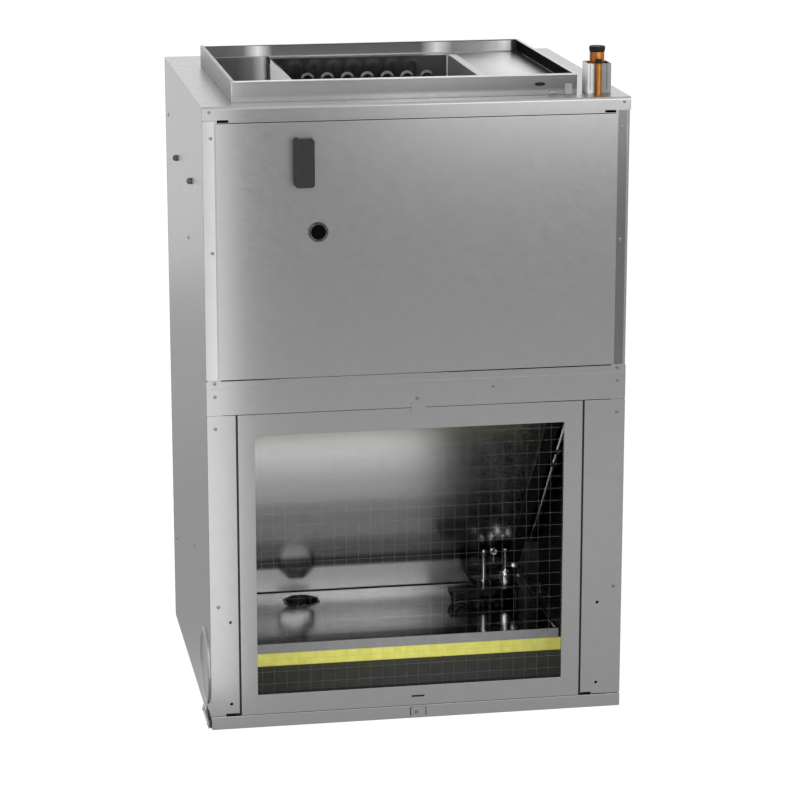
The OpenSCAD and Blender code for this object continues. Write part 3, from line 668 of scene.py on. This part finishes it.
def make_handle():
    """A block with round corners, and a glossier cap on its top."""
    low, high = sides("panel_handle")
    handle = block("handle_block", low, high)
    choose_edges(handle, lambda along: abs(along.y) > 0.99)
    bpy.ops.mesh.bevel(offset=HANDLE_CORNER * MM, segments=6, affect="EDGES")
    close_edit()
    soften(handle, 0.7)
    done(handle, "black_plastic", "panel_handle", finish=HANDLE_FINISH)
    left, right = low.x + HANDLE_CORNER, high.x - HANDLE_CORNER
    thin_plate("handle_cap", (left, low.y + 1, high.z), (right, high.y, high.z + 0.3), "black_plastic")


def make_plug():
    """A round plug with a raised ring, and a dark dish inside it."""
    low, high = sides("panel_plug")
    x, z = (low.x + high.x) / 2, (low.z + high.z) / 2
    ring = [
        (0, 0), (14, 0), (14, 1.6), (13.2, 3.3), (12, 4), (10.8, 3.4), (10, PLUG_FLOOR), (0, PLUG_FLOOR),
    ]
    done(turned("plug_disc", (x, high.y, z), TO_FRONT, ring), "black_plastic", "panel_plug")
    hollow = [(0, 0), (9.9, 0), (9.9, 0.2), (9, 0.4), (0, 0.4)]
    dish = turned("plug_dish", (x, high.y - PLUG_FLOOR, z), TO_FRONT, hollow)
    done(dish, "black_rubber", finish=DISH_FINISH)


def make_fillers():
    """The sheets beside the return frame, each with two holes and a notch in its foot."""
    for node, (hole_x, notch_start, notch_end) in FILLERS.items():
        low, high = sides(node)
        filler = block(node + "_sheet", low, high)
        for z in FILLER_HOLE_ROWS:
            cut_away(filler, rod("hole", (hole_x, 0, z), FILLER_HOLE_RADIUS, THROUGH, "Y", 24))
        cut_away(filler, block("notch", (notch_start, -2, low.z - 1), (notch_end, 4, low.z + NOTCH_HEIGHT)))
        soften(filler, 0.3, 1)
        done(filler, "cabinet_steel", node)


def make_return_frame():
    """A flat frame with a slit in its foot, and its opening's edges turned in."""
    low, high = sides("return_frame")
    reach = THROUGH / 2
    sheet = block("frame_sheet", (low.x, low.y, low.z - FRAME_OVERLAP), high)
    cut_away(
        sheet,
        block("opening", (OPENING_LEFT, -reach, OPENING_FOOT), (OPENING_RIGHT, reach, OPENING_TOP)),
        block("slit", (SLIT_LEFT, -reach, SLIT_FOOT), (SLIT_RIGHT, reach, SLIT_TOP)),
    )
    soften(sheet, 0.4)
    left, right = OPENING_LEFT - SHEET, OPENING_RIGHT + SHEET
    foot, top = OPENING_FOOT - SHEET, OPENING_TOP + SHEET
    turned_in = [
        block("edge", (left, EDGE_FRONT, foot), (OPENING_LEFT, EDGE_BACK, top)),
        block("edge", (OPENING_RIGHT, EDGE_FRONT, foot), (right, EDGE_BACK, top)),
        block("edge", (OPENING_LEFT, EDGE_FRONT, foot), (OPENING_RIGHT, EDGE_BACK, OPENING_FOOT)),
        block("edge", (OPENING_LEFT, EDGE_FRONT, OPENING_TOP), (OPENING_RIGHT, EDGE_BACK, top)),
    ]
    done(join("return_frame_sheet", [sheet] + turned_in), "cabinet_steel", "return_frame")


def make_rails():
    """The middle rail with its step and shelf under the service panel, and the bottom rail."""
    low, high = sides("middle_rail")
    rail = block("rail_sheet", (low.x, low.y, low.z), (high.x, SHEET, STEP_FOOT + STEP_OVERLAP))
    step = block("rail_step", (low.x, STEP_SETBACK, STEP_FOOT), (high.x, STEP_SETBACK + SHEET, high.z))
    shelf = block("rail_shelf", (low.x, 1, high.z - SHEET), (high.x, high.y, high.z))
    for piece in (rail, step, shelf):
        soften(piece, 0.35)
    done(join("middle_rail_sheet", [rail, step, shelf]), "cabinet_steel", "middle_rail")
    low, high = sides("bottom_rail")
    rail = block("bottom_rail_sheet", low, high)
    soften(rail, 0.8, 3)
    done(rail, "cabinet_steel", "bottom_rail")


def make_post_faces():
    """The posts' fronts, set back beside the service panel. The left one wraps the cabinet's corner and has
    painted light across it; the right one is a darker plate that paints shade on the recessed post.
    """
    near = (-0.1, POST_SETBACK - 0.1, POST_FOOT)
    left = block("left_post_face", near, (LEFT_POST_EDGE, LEFT_POST_DEPTH, POST_TOP))
    soften(left, 0.7, 3)
    done(left, "cabinet_steel", finish=POST_PAINTED_FINISH)
    start, end = RIGHT_POST_EDGES
    thin_plate(
        "right_post_painted_shade", (start, POST_SETBACK, POST_FOOT), (end, SHEET, POST_TOP),
        "cabinet_steel", PAINTED_SHADE_FINISH, 0.08
    )


def make_clips():
    """The clips that hold the return frame, and two black strips in the bottom rail beside the lower one that
    paint the shade in two slots.
    """
    for node in ("upper_clip", "lower_clip"):
        low, high = sides(node)
        clip = block(node + "_sheet", low, high)
        soften(clip, 0.4)
        done(clip, "cabinet_steel", node)
    low, high = sides("lower_clip")
    rail_front = sides("bottom_rail")[0].y
    slots = []
    for left in (low.x - CLIP_SLOT_GAP - CLIP_SLOT_WIDTH, high.x + CLIP_SLOT_GAP):
        near = (left, rail_front - 0.1, low.z + 2)
        far = (left + CLIP_SLOT_WIDTH, rail_front + 0.3, high.z - 1)
        slot = block("slot", near, far)
        soften(slot, 0.1, 1)
        slots.append(slot)
    done(join("clip_slot_shadows", slots), "black_rubber")


# Inside the return opening

WIRE_RADIUS = 0.08
ROW_PITCH, COLUMN_PITCH = 18.4, 17.75
# Half the thickness of the CAD's square wires
HALF_WIRE = 0.15
DRAIN_SIDES = 8
CUP_RADIUS, CUP_RIM_RADIUS, CUP_HOLLOW_RADIUS = 30.0, 31.6, 28.0
STRAINER_RADIUS = 26.0
CUP_FLOOR = 2.0
LINING_THICKNESS = 4.0
LINING_FRONT, LINING_BACK = 8.0, 530.0
LINING_FOOT, LINING_TOP = 27.0, 470.0
LINING_GAP = 1.6
# The black lining under the opening; its top also paints the shadow line along the opening's foot
FRONT_LINING_LOW = (24.0, 6.0, 12.0)
FRONT_LINING_HIGH = (CABINET_WIDTH - 24.0, 9.0, 51.0)
VALVE_PLATE_THICKNESS = 2.0
VALVE_NOTCH_WIDTH, VALVE_NOTCH_START = 42.0, 27.2
VALVE_WINDOWS = (50.0, 82.0)
VALVE_WINDOW_WIDTH, VALVE_WINDOW_START, VALVE_WINDOW_END = 24.0, 34.0, 8.0


def make_screen():
    """Fine round wires on the middle lines of the CAD's square ones."""
    low, high = sides("screen_wires_across")
    middle = (low + high) / 2
    rows = int((high.z - low.z) / ROW_PITCH) + 1
    across = []
    for row in range(rows):
        centre = (middle.x, middle.y, low.z + HALF_WIRE + ROW_PITCH * row)
        across.append(rod("wire", centre, WIRE_RADIUS, high.x - low.x, "X", 6))
    done(join("level_wires", across), "screen_wire", "screen_wires_across")
    low, high = sides("screen_wires_upright")
    middle = (low + high) / 2
    columns = int((high.x - low.x) / COLUMN_PITCH) + 1
    upright = []
    for column in range(columns):
        centre = (low.x + HALF_WIRE + COLUMN_PITCH * column, middle.y, middle.z)
        upright.append(rod("wire", centre, WIRE_RADIUS, high.z - low.z, "Z", 6))
    done(join("upright_wires", upright), "screen_wire", "screen_wires_upright")


def make_drain_cup():
    """An eight-sided cup with a rim, and a strainer and a half baffle inside it."""
    (x, y, foot), height = standing("drain_fitting")

    def slice_of(name, z, radius, thickness):
        return rod(name, (x, y, foot + z), radius, thickness, "Z", DRAIN_SIDES, math.pi / DRAIN_SIDES)

    cup = slice_of("cup", (height - 1) / 2, CUP_RADIUS, height - 1)
    rim = slice_of("cup_rim", height - 0.5, CUP_RIM_RADIUS, 1)
    soften(rim, 0.3, 1)
    cup = join("drain_cup", [cup, rim])
    cut_away(cup, slice_of("hollow", height, CUP_HOLLOW_RADIUS, 2 * (height - CUP_FLOOR)))
    done(cup, "black_plastic", "drain_fitting")
    strainer = slice_of("drain_strainer", CUP_FLOOR + 0.5, STRAINER_RADIUS, 1)
    soften(strainer, 0.2, 1)
    done(strainer, "inner_steel")
    baffle = slice_of("drain_baffle", CUP_FLOOR + 2, STRAINER_RADIUS, 1)
    cut_away(baffle, block("front_part", (x - 40, y - 40, foot), (x + 40, y + 6, foot + 9)))
    soften(baffle, 0.2, 1)
    done(baffle, "black_plastic")


def make_pan_lip():
    low, high = sides("drain_pan")
    lip = block("pan_lip", (low.x, low.y - 0.6, low.z), (high.x, low.y, high.z - 0.4))
    soften(lip, 0.25)
    done(lip, "inner_steel", finish=LIP_FINISH)


def make_valve_plate():
    """The plate under the valve, with a notch, two windows and two legs."""
    low, high = sides("valve_plate")
    plate = block("plate", (low.x, low.y, high.z - VALVE_PLATE_THICKNESS), high)
    under, over = high.z - 9, high.z + 9
    near = (low.x - 9, low.y + VALVE_NOTCH_START, under)
    cut_away(plate, block("notch", near, (low.x + VALVE_NOTCH_WIDTH, high.y + 9, over)))
    for window in VALVE_WINDOWS:
        near = (low.x + window, low.y + VALVE_WINDOW_START, under)
        far = (low.x + window + VALVE_WINDOW_WIDTH, high.y - VALVE_WINDOW_END, over)
        cut_away(plate, block("window", near, far))
    soften(plate, 0.6)
    leg = [(0, 0), (4, 0), (4, 1), (3, 2), (3, 19), (0, 19)]
    legs = [turned("leg", (x, low.y + 6, low.z), UP, leg, 20) for x in (low.x + 6, high.x - 6)]
    done(join("valve_base", [plate] + legs), "dark_steel", "valve_plate")


def make_valve():
    """The valve with its link, knob and sensing bulb, and the distributor post beside it."""
    (x, y, foot), top = standing("expansion_valve")
    (post_x, post_y, post_foot), post_top = standing("distributor_post")
    body = [
        (0, 0), (9, 0), (10, 1), (10, 18), (8, 22), (4.5, 24), (3, 27), (3, top - 6), (4, top - 5),
        (4, top - 1), (3, top), (0, top),
    ]
    valve = turned("valve", (x, y, foot), UP, body, 32)
    rise = [
        (0, 0), (5, 0), (5, 8), (3.4, 10), (3.4, post_top - 12), (5, post_top - 10), (5, post_top - 2),
        (4, post_top), (0, post_top),
    ]
    done(turned("distributor", (post_x, post_y, post_foot), UP, rise, 32), "valve_metal", "distributor_post")
    link_z, knob_x, bulb_z = foot + 38, post_x + 16, foot + 31
    link = rod("link", ((x + post_x) / 2, y, link_z), 1.2, x - post_x, "X", 16)
    stem = rod("knob_stem", (knob_x, y, link_z + 7), 1.2, 14, "Z", 16)
    round_knob = [(0, -4), (5, -4), (6, -2), (6, 2), (4.5, 3), (3, 1), (0, 1)]
    knob = turned("knob", (knob_x, y, link_z + 19), TO_FRONT, round_knob, 24)
    arm = rod("bulb_arm", (x + 9, y, bulb_z), 1.5, 18, "X", 16)
    egg = [(0, -7), (4, -6), (5.5, -3), (5.5, 3), (4, 6), (0, 7)]
    bulb = turned("bulb", (x + 16, y, bulb_z), TO_RIGHT, egg, 24)
    done(join("valve_body", [valve, link, stem, knob, arm, bulb]), "valve_metal", "expansion_valve")


def make_capillaries():
    """Three half loops, each smaller and further forward than the one behind it."""
    low, high = sides("capillary_loops")
    x, tube, step = (low.x + high.x) / 2, 1.6, 5
    loops = [
        hoop("loop", (x, high.y - tube - step * i, low.z), TO_FRONT, TO_RIGHT, 21 - step * i, tube, math.pi)
        for i in range(3)
    ]
    done(join("capillary_hoops", loops), "dark_steel", "capillary_loops")


def make_lining():
    """Black linings beside and below the return opening, the one below standing high enough to paint the
    shadow line along the opening's foot, and a black cover on the end of the foam.
    """
    for name, left in (
        ("left_lining", LINING_GAP),
        ("right_lining", CABINET_WIDTH - LINING_GAP - LINING_THICKNESS),
    ):
        lining = block(
            name, (left, LINING_FRONT, LINING_FOOT), (left + LINING_THICKNESS, LINING_BACK, LINING_TOP)
        )
        soften(lining, 1)
        done(lining, "black_rubber")
    lining = block("front_lining_and_shadow", FRONT_LINING_LOW, FRONT_LINING_HIGH)
    soften(lining, 1)
    done(lining, "black_rubber")
    low, high = sides("drain_pan")
    foam_end = sides("pan_insulation")[1].x
    near = (high.x + 0.4, low.y + 0.6, low.z)
    far = (foam_end - 0.4, low.y + 11.6, low.z + 0.8)
    cover = block("foam_cover", near, far)
    soften(cover, 0.2, 1)
    done(cover, "black_rubber")


# Top

COLLAR_LEAN = 1.5
COLLAR_FOLD = 5.0
BEAD_RADIUS = 1.1
BEAD_INSET = 0.9
TAB_LEFT, TAB_RIGHT = 521.0, 532.0
TAB_HOLE = (529.5, 938.0)
KNOCKOUT_FLATTENED = 0.32
LINER_BACK = 394.0
LINER_FLANGE = 12.0
# How far the liner's right wall stands in from its flange's edge
LINER_WALL_INSET = 13.5


def make_collar():
    """A frame of sheet with its top folded in and its front leaning out a little."""
    low, high = sides("duct_collar")
    collar = block("collar_sheet_painted_light", low, high)
    inside = block(
        "inside", (low.x + SHEET, low.y + SHEET, low.z - 5), (high.x - SHEET, high.y - SHEET, high.z - SHEET)
    )
    mouth = block(
        "mouth",
        (low.x + COLLAR_FOLD, low.y + COLLAR_FOLD, high.z - 5),
        (high.x - COLLAR_FOLD, high.y - COLLAR_FOLD, high.z + 5),
    )
    cut_away(collar, inside, mouth)
    choose_corners(collar, lambda place: place.y < low.y + 2 and place.z > high.z - 2)
    bpy.ops.transform.translate(value=(0, -COLLAR_LEAN * MM, 0))
    close_edit()
    soften(collar, 0.5)
    # Its finish paints light on the collar, lighter on the left than on the right.
    done(collar, "cabinet_steel", "duct_collar", finish=COLLAR_PAINTED_FINISH)


def make_collar_rim():
    """A bead along the front's top painted bright as a highlight, and a rim on the other three sides painted
    darker as shade.
    """
    low, high = sides("duct_collar")
    x, y, z = (low.x + high.x) / 2, (low.y + high.y) / 2, high.z - BEAD_RADIUS
    width, depth = high.x - low.x, high.y - low.y
    bead = rod("collar_bead_painted_highlight", (x, low.y - COLLAR_LEAN + BEAD_INSET, z), BEAD_RADIUS, width, "X", 16)
    soften(bead, 0.2, 1)
    done(bead, "cabinet_steel", finish=BEAD_HIGHLIGHT_FINISH)
    back = rod("rim", (x, high.y - BEAD_INSET, z), BEAD_RADIUS, width, "X", 16)
    right = rod("rim", (high.x - BEAD_INSET, y, z), BEAD_RADIUS, depth, "Y", 16)
    left = block(
        "rim",
        (low.x - 0.2, low.y + 0.5, high.z - 2 * BEAD_RADIUS),
        (low.x + COLLAR_FOLD + 0.2, high.y, high.z + 0.2),
    )
    soften(left, 0.5)
    done(join("collar_rim_painted_shade", [back, left, right]), "cabinet_steel", finish=PAINTED_SHADE_FINISH)


def make_collar_plates():
    """A plate on the collar's left painted darker as shade, sheets on its inner back and right walls with
    painted bright streaks on the back and painted shade on the right, and a tab on its front painted darker
    as shade.
    """
    low, high = sides("duct_collar")
    thin_plate(
        "collar_side_painted_shade",
        (low.x - 0.25, low.y + 0.5, low.z + 0.5), (low.x - 0.02, high.y - 0.5, high.z - 2.5),
        "cabinet_steel", PAINTED_SHADE_FINISH, 0.08
    )
    deck, top = low.z + 12, high.z - 2
    thin_plate(
        "collar_inner_painted_streaks",
        (low.x + 1.5, high.y - SHEET - 0.4, deck), (high.x - 1.5, high.y - SHEET, top),
        "cabinet_steel", PAINTED_STREAK_FINISH
    )
    thin_plate(
        "collar_wall_painted_shade",
        (high.x - SHEET - 0.5, low.y + 1.5, deck), (high.x - SHEET, high.y - 1.8, top),
        "black_rubber", DISH_FINISH
    )
    tab = block("collar_tab", (TAB_LEFT, low.y - 0.8, low.z), (TAB_RIGHT, low.y, top))
    hole_x, hole_z = TAB_HOLE
    cut_away(tab, rod("hole", (hole_x, low.y, hole_z), 1.2, THROUGH, "Y", 16))
    soften(tab, 0.3, 1)
    done(tab, "cabinet_steel", finish=PAINTED_SHADE_FINISH)


def make_knockouts():
    """Two long round knockouts on the collar's front, the plain one painted darker as shade."""
    low, high = sides("duct_collar")
    ring = [(0, 0), (8, 0), (8, 0.5), (7, 0.7), (6, 0.3), (0, 0.3)]
    for name, x, z, slot, finish in (
        ("dark_knockout", 485, 929, "black_rubber", None),
        ("plain_knockout", 504, 917.5, "cabinet_steel", PAINTED_SHADE_FINISH),
    ):
        y = low.y - COLLAR_LEAN * (z - low.z) / (high.z - low.z)
        knockout = turned(name, (x, y, z), TO_FRONT, ring, 32)
        choose_corners(knockout, lambda place: True)
        bpy.ops.transform.resize(value=(1, 1, KNOCKOUT_FLATTENED), center_override=at((x, y, z)))
        close_edit()
        done(knockout, slot, finish=finish)


def make_liner_plates():
    """Plates on the liner's left wall, right flange and right wall, and a strip in its back right corner. The
    left wall's white plate paints a reflection, the right wall's dark plate paints shade, and the corner
    strip is a painted highlight.
    """
    low, high = sides("supply_liner")
    wall = high.x - LINER_WALL_INSET
    thin_plate(
        "liner_wall_painted_reflection",
        (low.x - 0.25, low.y + 1, low.z + 4), (low.x - 0.02, LINER_BACK, high.z - 1),
        "inner_steel", PAINTED_REFLECTION_FINISH, 0.08
    )
    thin_plate(
        "liner_flange",
        (high.x - LINER_FLANGE + 0.2, low.y + 0.2, high.z), (high.x - 0.2, LINER_BACK + 1.4, high.z + 0.4),
        "inner_steel", FLANGE_FINISH, 0.08
    )
    thin_plate(
        "liner_inner_painted_shade",
        (wall - 0.1, low.y + 1.5, low.z + 6), (wall + 0.25, LINER_BACK, high.z - 1.5),
        "inner_steel", PAINTED_SHADE_COATING, 0.08
    )
    middle = (wall - 0.7, LINER_BACK - 0.8, (low.z + high.z) / 2 + 3)
    corner = rod("liner_corner_painted_highlight", middle, 0.9, high.z - low.z - 8, "Z", 12)
    soften(corner, 0.2, 1)
    done(corner, "inner_steel", finish=PAINTED_LIGHT_FINISH)


def make_lines():
    """The copper lines, each with a groove near its top, and their caps."""
    foot, top = standing("suction_line")
    tube = [
        (0, 0), (10.5, 0), (10.5, top - 17), (9.6, top - 16), (9.6, top - 14.5), (10.5, top - 13.5),
        (10.5, top), (0, top),
    ]
    done(turned("suction_tube", foot, UP, tube), "copper", "suction_line")
    foot, top = standing("suction_cap")
    cap = [(0, 0), (10.7, 0), (11.5, 4), (11.5, top), (10.7, top + 1), (9, top + 0.6), (0, top + 0.6)]
    done(turned("suction_plug_cap", foot, UP, cap), "black_rubber", "suction_cap")
    foot, top = standing("liquid_line")
    tube = [
        (0, 0), (4.4, 0), (4.4, top - 6), (4.1, top - 5), (4.1, top - 4), (4.4, top - 3),
        (4.4, top), (0, top),
    ]
    done(turned("liquid_tube", foot, UP, tube, 32), "copper", "liquid_line")
    foot, top = standing("liquid_cap")
    cap = [(0, 0), (4.8, 0), (5, 1), (5, top - 1), (4.4, top), (0, top)]
    done(turned("liquid_plug_cap", foot, UP, cap, 32), "black_rubber", "liquid_cap")


def make_shroud():
    """A square sleeve behind the lines with two seams in its front and painted light and shade across it, and
    a pale plate on its left that paints light on that face.
    """
    low, high = sides("pipe_shroud")
    shroud = block("shroud_sheet_painted_light", low, high)
    near = (low.x + SHEET, low.y + SHEET, low.z - 5)
    far = (high.x - SHEET, high.y - SHEET, high.z + 5)
    cut_away(shroud, block("inside", near, far))
    for x in (low.x + 3, high.x - 7):
        cut_away(shroud, block("seam", (x, low.y - 1, low.z + 5), (x + 1, low.y + 0.7, high.z + 1)))
    soften(shroud, 0.4)
    done(shroud, "valve_metal", "pipe_shroud", finish=SHROUD_PAINTED_FINISH)
    thin_plate(
        "shroud_side_painted_light",
        (low.x - 0.25, low.y + 0.5, low.z + 0.5), (low.x - 0.02, high.y - 0.5, high.z - 0.5),
        "valve_metal", PAINTED_LIGHT_FINISH, 0.08
    )


# Sides and screws

HANGING_HOLE_COLUMNS = (158.0, 362.0)
HANGING_HOLE_ROW = 783.0
# The sides' sheets, and the way each faces
SIDES = ((0.0, TO_LEFT), (CABINET_WIDTH, TO_RIGHT))
POST_SCREW_COLUMNS = (11.8, 597.8)
LOW_SCREW_ROWS = (519, 500, 453, 187)
HIGH_SCREW_ROWS = (869, 707)
# Other screws of the front: their places and radii
RAIL_SCREWS = (((302.7, 0, 486), 2.6), ((413.8, 0, 499), 2.2))
CLIP_SCREW = ((302.2, -2.7, 10), 3.0)
APRON_SCREWS = (((600.2, -2, 906), 2.2), ((9.8, -2, 906), 2.2))
SIDE_SCREWS = ((488, 146), (212, 219), (488, 830), (212, 690))
BACK_SCREW_COLUMNS = (14, 596)
BACK_SCREW_ROWS = (40, 250, 470, 690, 880)


def make_side_cover():
    """A round cover with a raised ring."""
    low, high = sides("side_cover")
    centre = (high.x, (low.y + high.y) / 2, (low.z + high.z) / 2)
    ring = [(0, 0), (57, 0), (57, 2), (55.5, 3.5), (52, 3.5), (50, 1.2), (0, 1.2)]
    done(turned("side_disc", centre, TO_LEFT, ring, 64), "cabinet_steel", "side_cover")


def make_side_plugs():
    """Round-headed plugs in the hanging holes high on both sides."""
    head = [(0, 0), (4.6, 0), (4.9, 1.5), (4.6, 4), (3.4, 6), (1.8, 7), (0, 7.2)]
    plugs = [
        turned("plug", (x, y, HANGING_HOLE_ROW), outward, head, 24)
        for x, outward in SIDES
        for y in HANGING_HOLE_COLUMNS
    ]
    done(join("side_plugs", plugs), "black_rubber", finish=PLUG_FINISH)


def screw(place, outward, radius=3.2):
    """A washer-headed screw that stands on the sheet at the place."""
    head = [
        (0, 0), (radius, 0), (radius, 0.5), (0.62 * radius, 0.8), (0.6 * radius, 1.7), (0.45 * radius, 2),
        (0, 1.6),
    ]
    return turned("screw", place, outward, head, 16)


def make_front_screws():
    """Screws in the posts, the middle rail, the lower clip and the apron, with a finish painted darker as
    shade.
    """
    places = []
    for x in POST_SCREW_COLUMNS:
        places += [((x, POST_SETBACK, z), 2.5) for z in HIGH_SCREW_ROWS]
        places += [((x, 0, z), 2.5) for z in LOW_SCREW_ROWS]
    places += [*RAIL_SCREWS, CLIP_SCREW, *APRON_SCREWS]
    screws = [screw(place, TO_FRONT, radius) for place, radius in places]
    done(join("front_screws", screws), "cabinet_steel", finish=PAINTED_SHADE_FINISH)


def make_side_screws():
    """Screws in both sides and in the foot bracket."""
    screws = [screw((x, y, z), outward) for x, outward in SIDES for y, z in SIDE_SCREWS]
    low, high = sides("foot_bracket")
    for y in (low.y + 5, high.y - 5):
        screws.append(screw((low.x, y, (low.z + high.z) / 2), TO_LEFT))
    done(join("side_screws", screws), "cabinet_steel")


def make_back_screws():
    screws = [screw((x, CABINET_BACK, z), TO_BACK) for z in BACK_SCREW_ROWS for x in BACK_SCREW_COLUMNS]
    done(join("back_screws", screws), "cabinet_steel")


make_service_panel()
make_handle()
make_plug()
make_fillers()
make_return_frame()
make_rails()
make_post_faces()
make_clips()
make_screen()
make_drain_cup()
make_pan_lip()
make_valve_plate()
make_valve()
make_capillaries()
make_lining()
make_collar()
make_collar_rim()
make_collar_plates()
make_knockouts()
make_liner_plates()
make_lines()
make_shroud()
make_side_cover()
make_side_plugs()
make_front_screws()
make_side_screws()
make_back_screws()
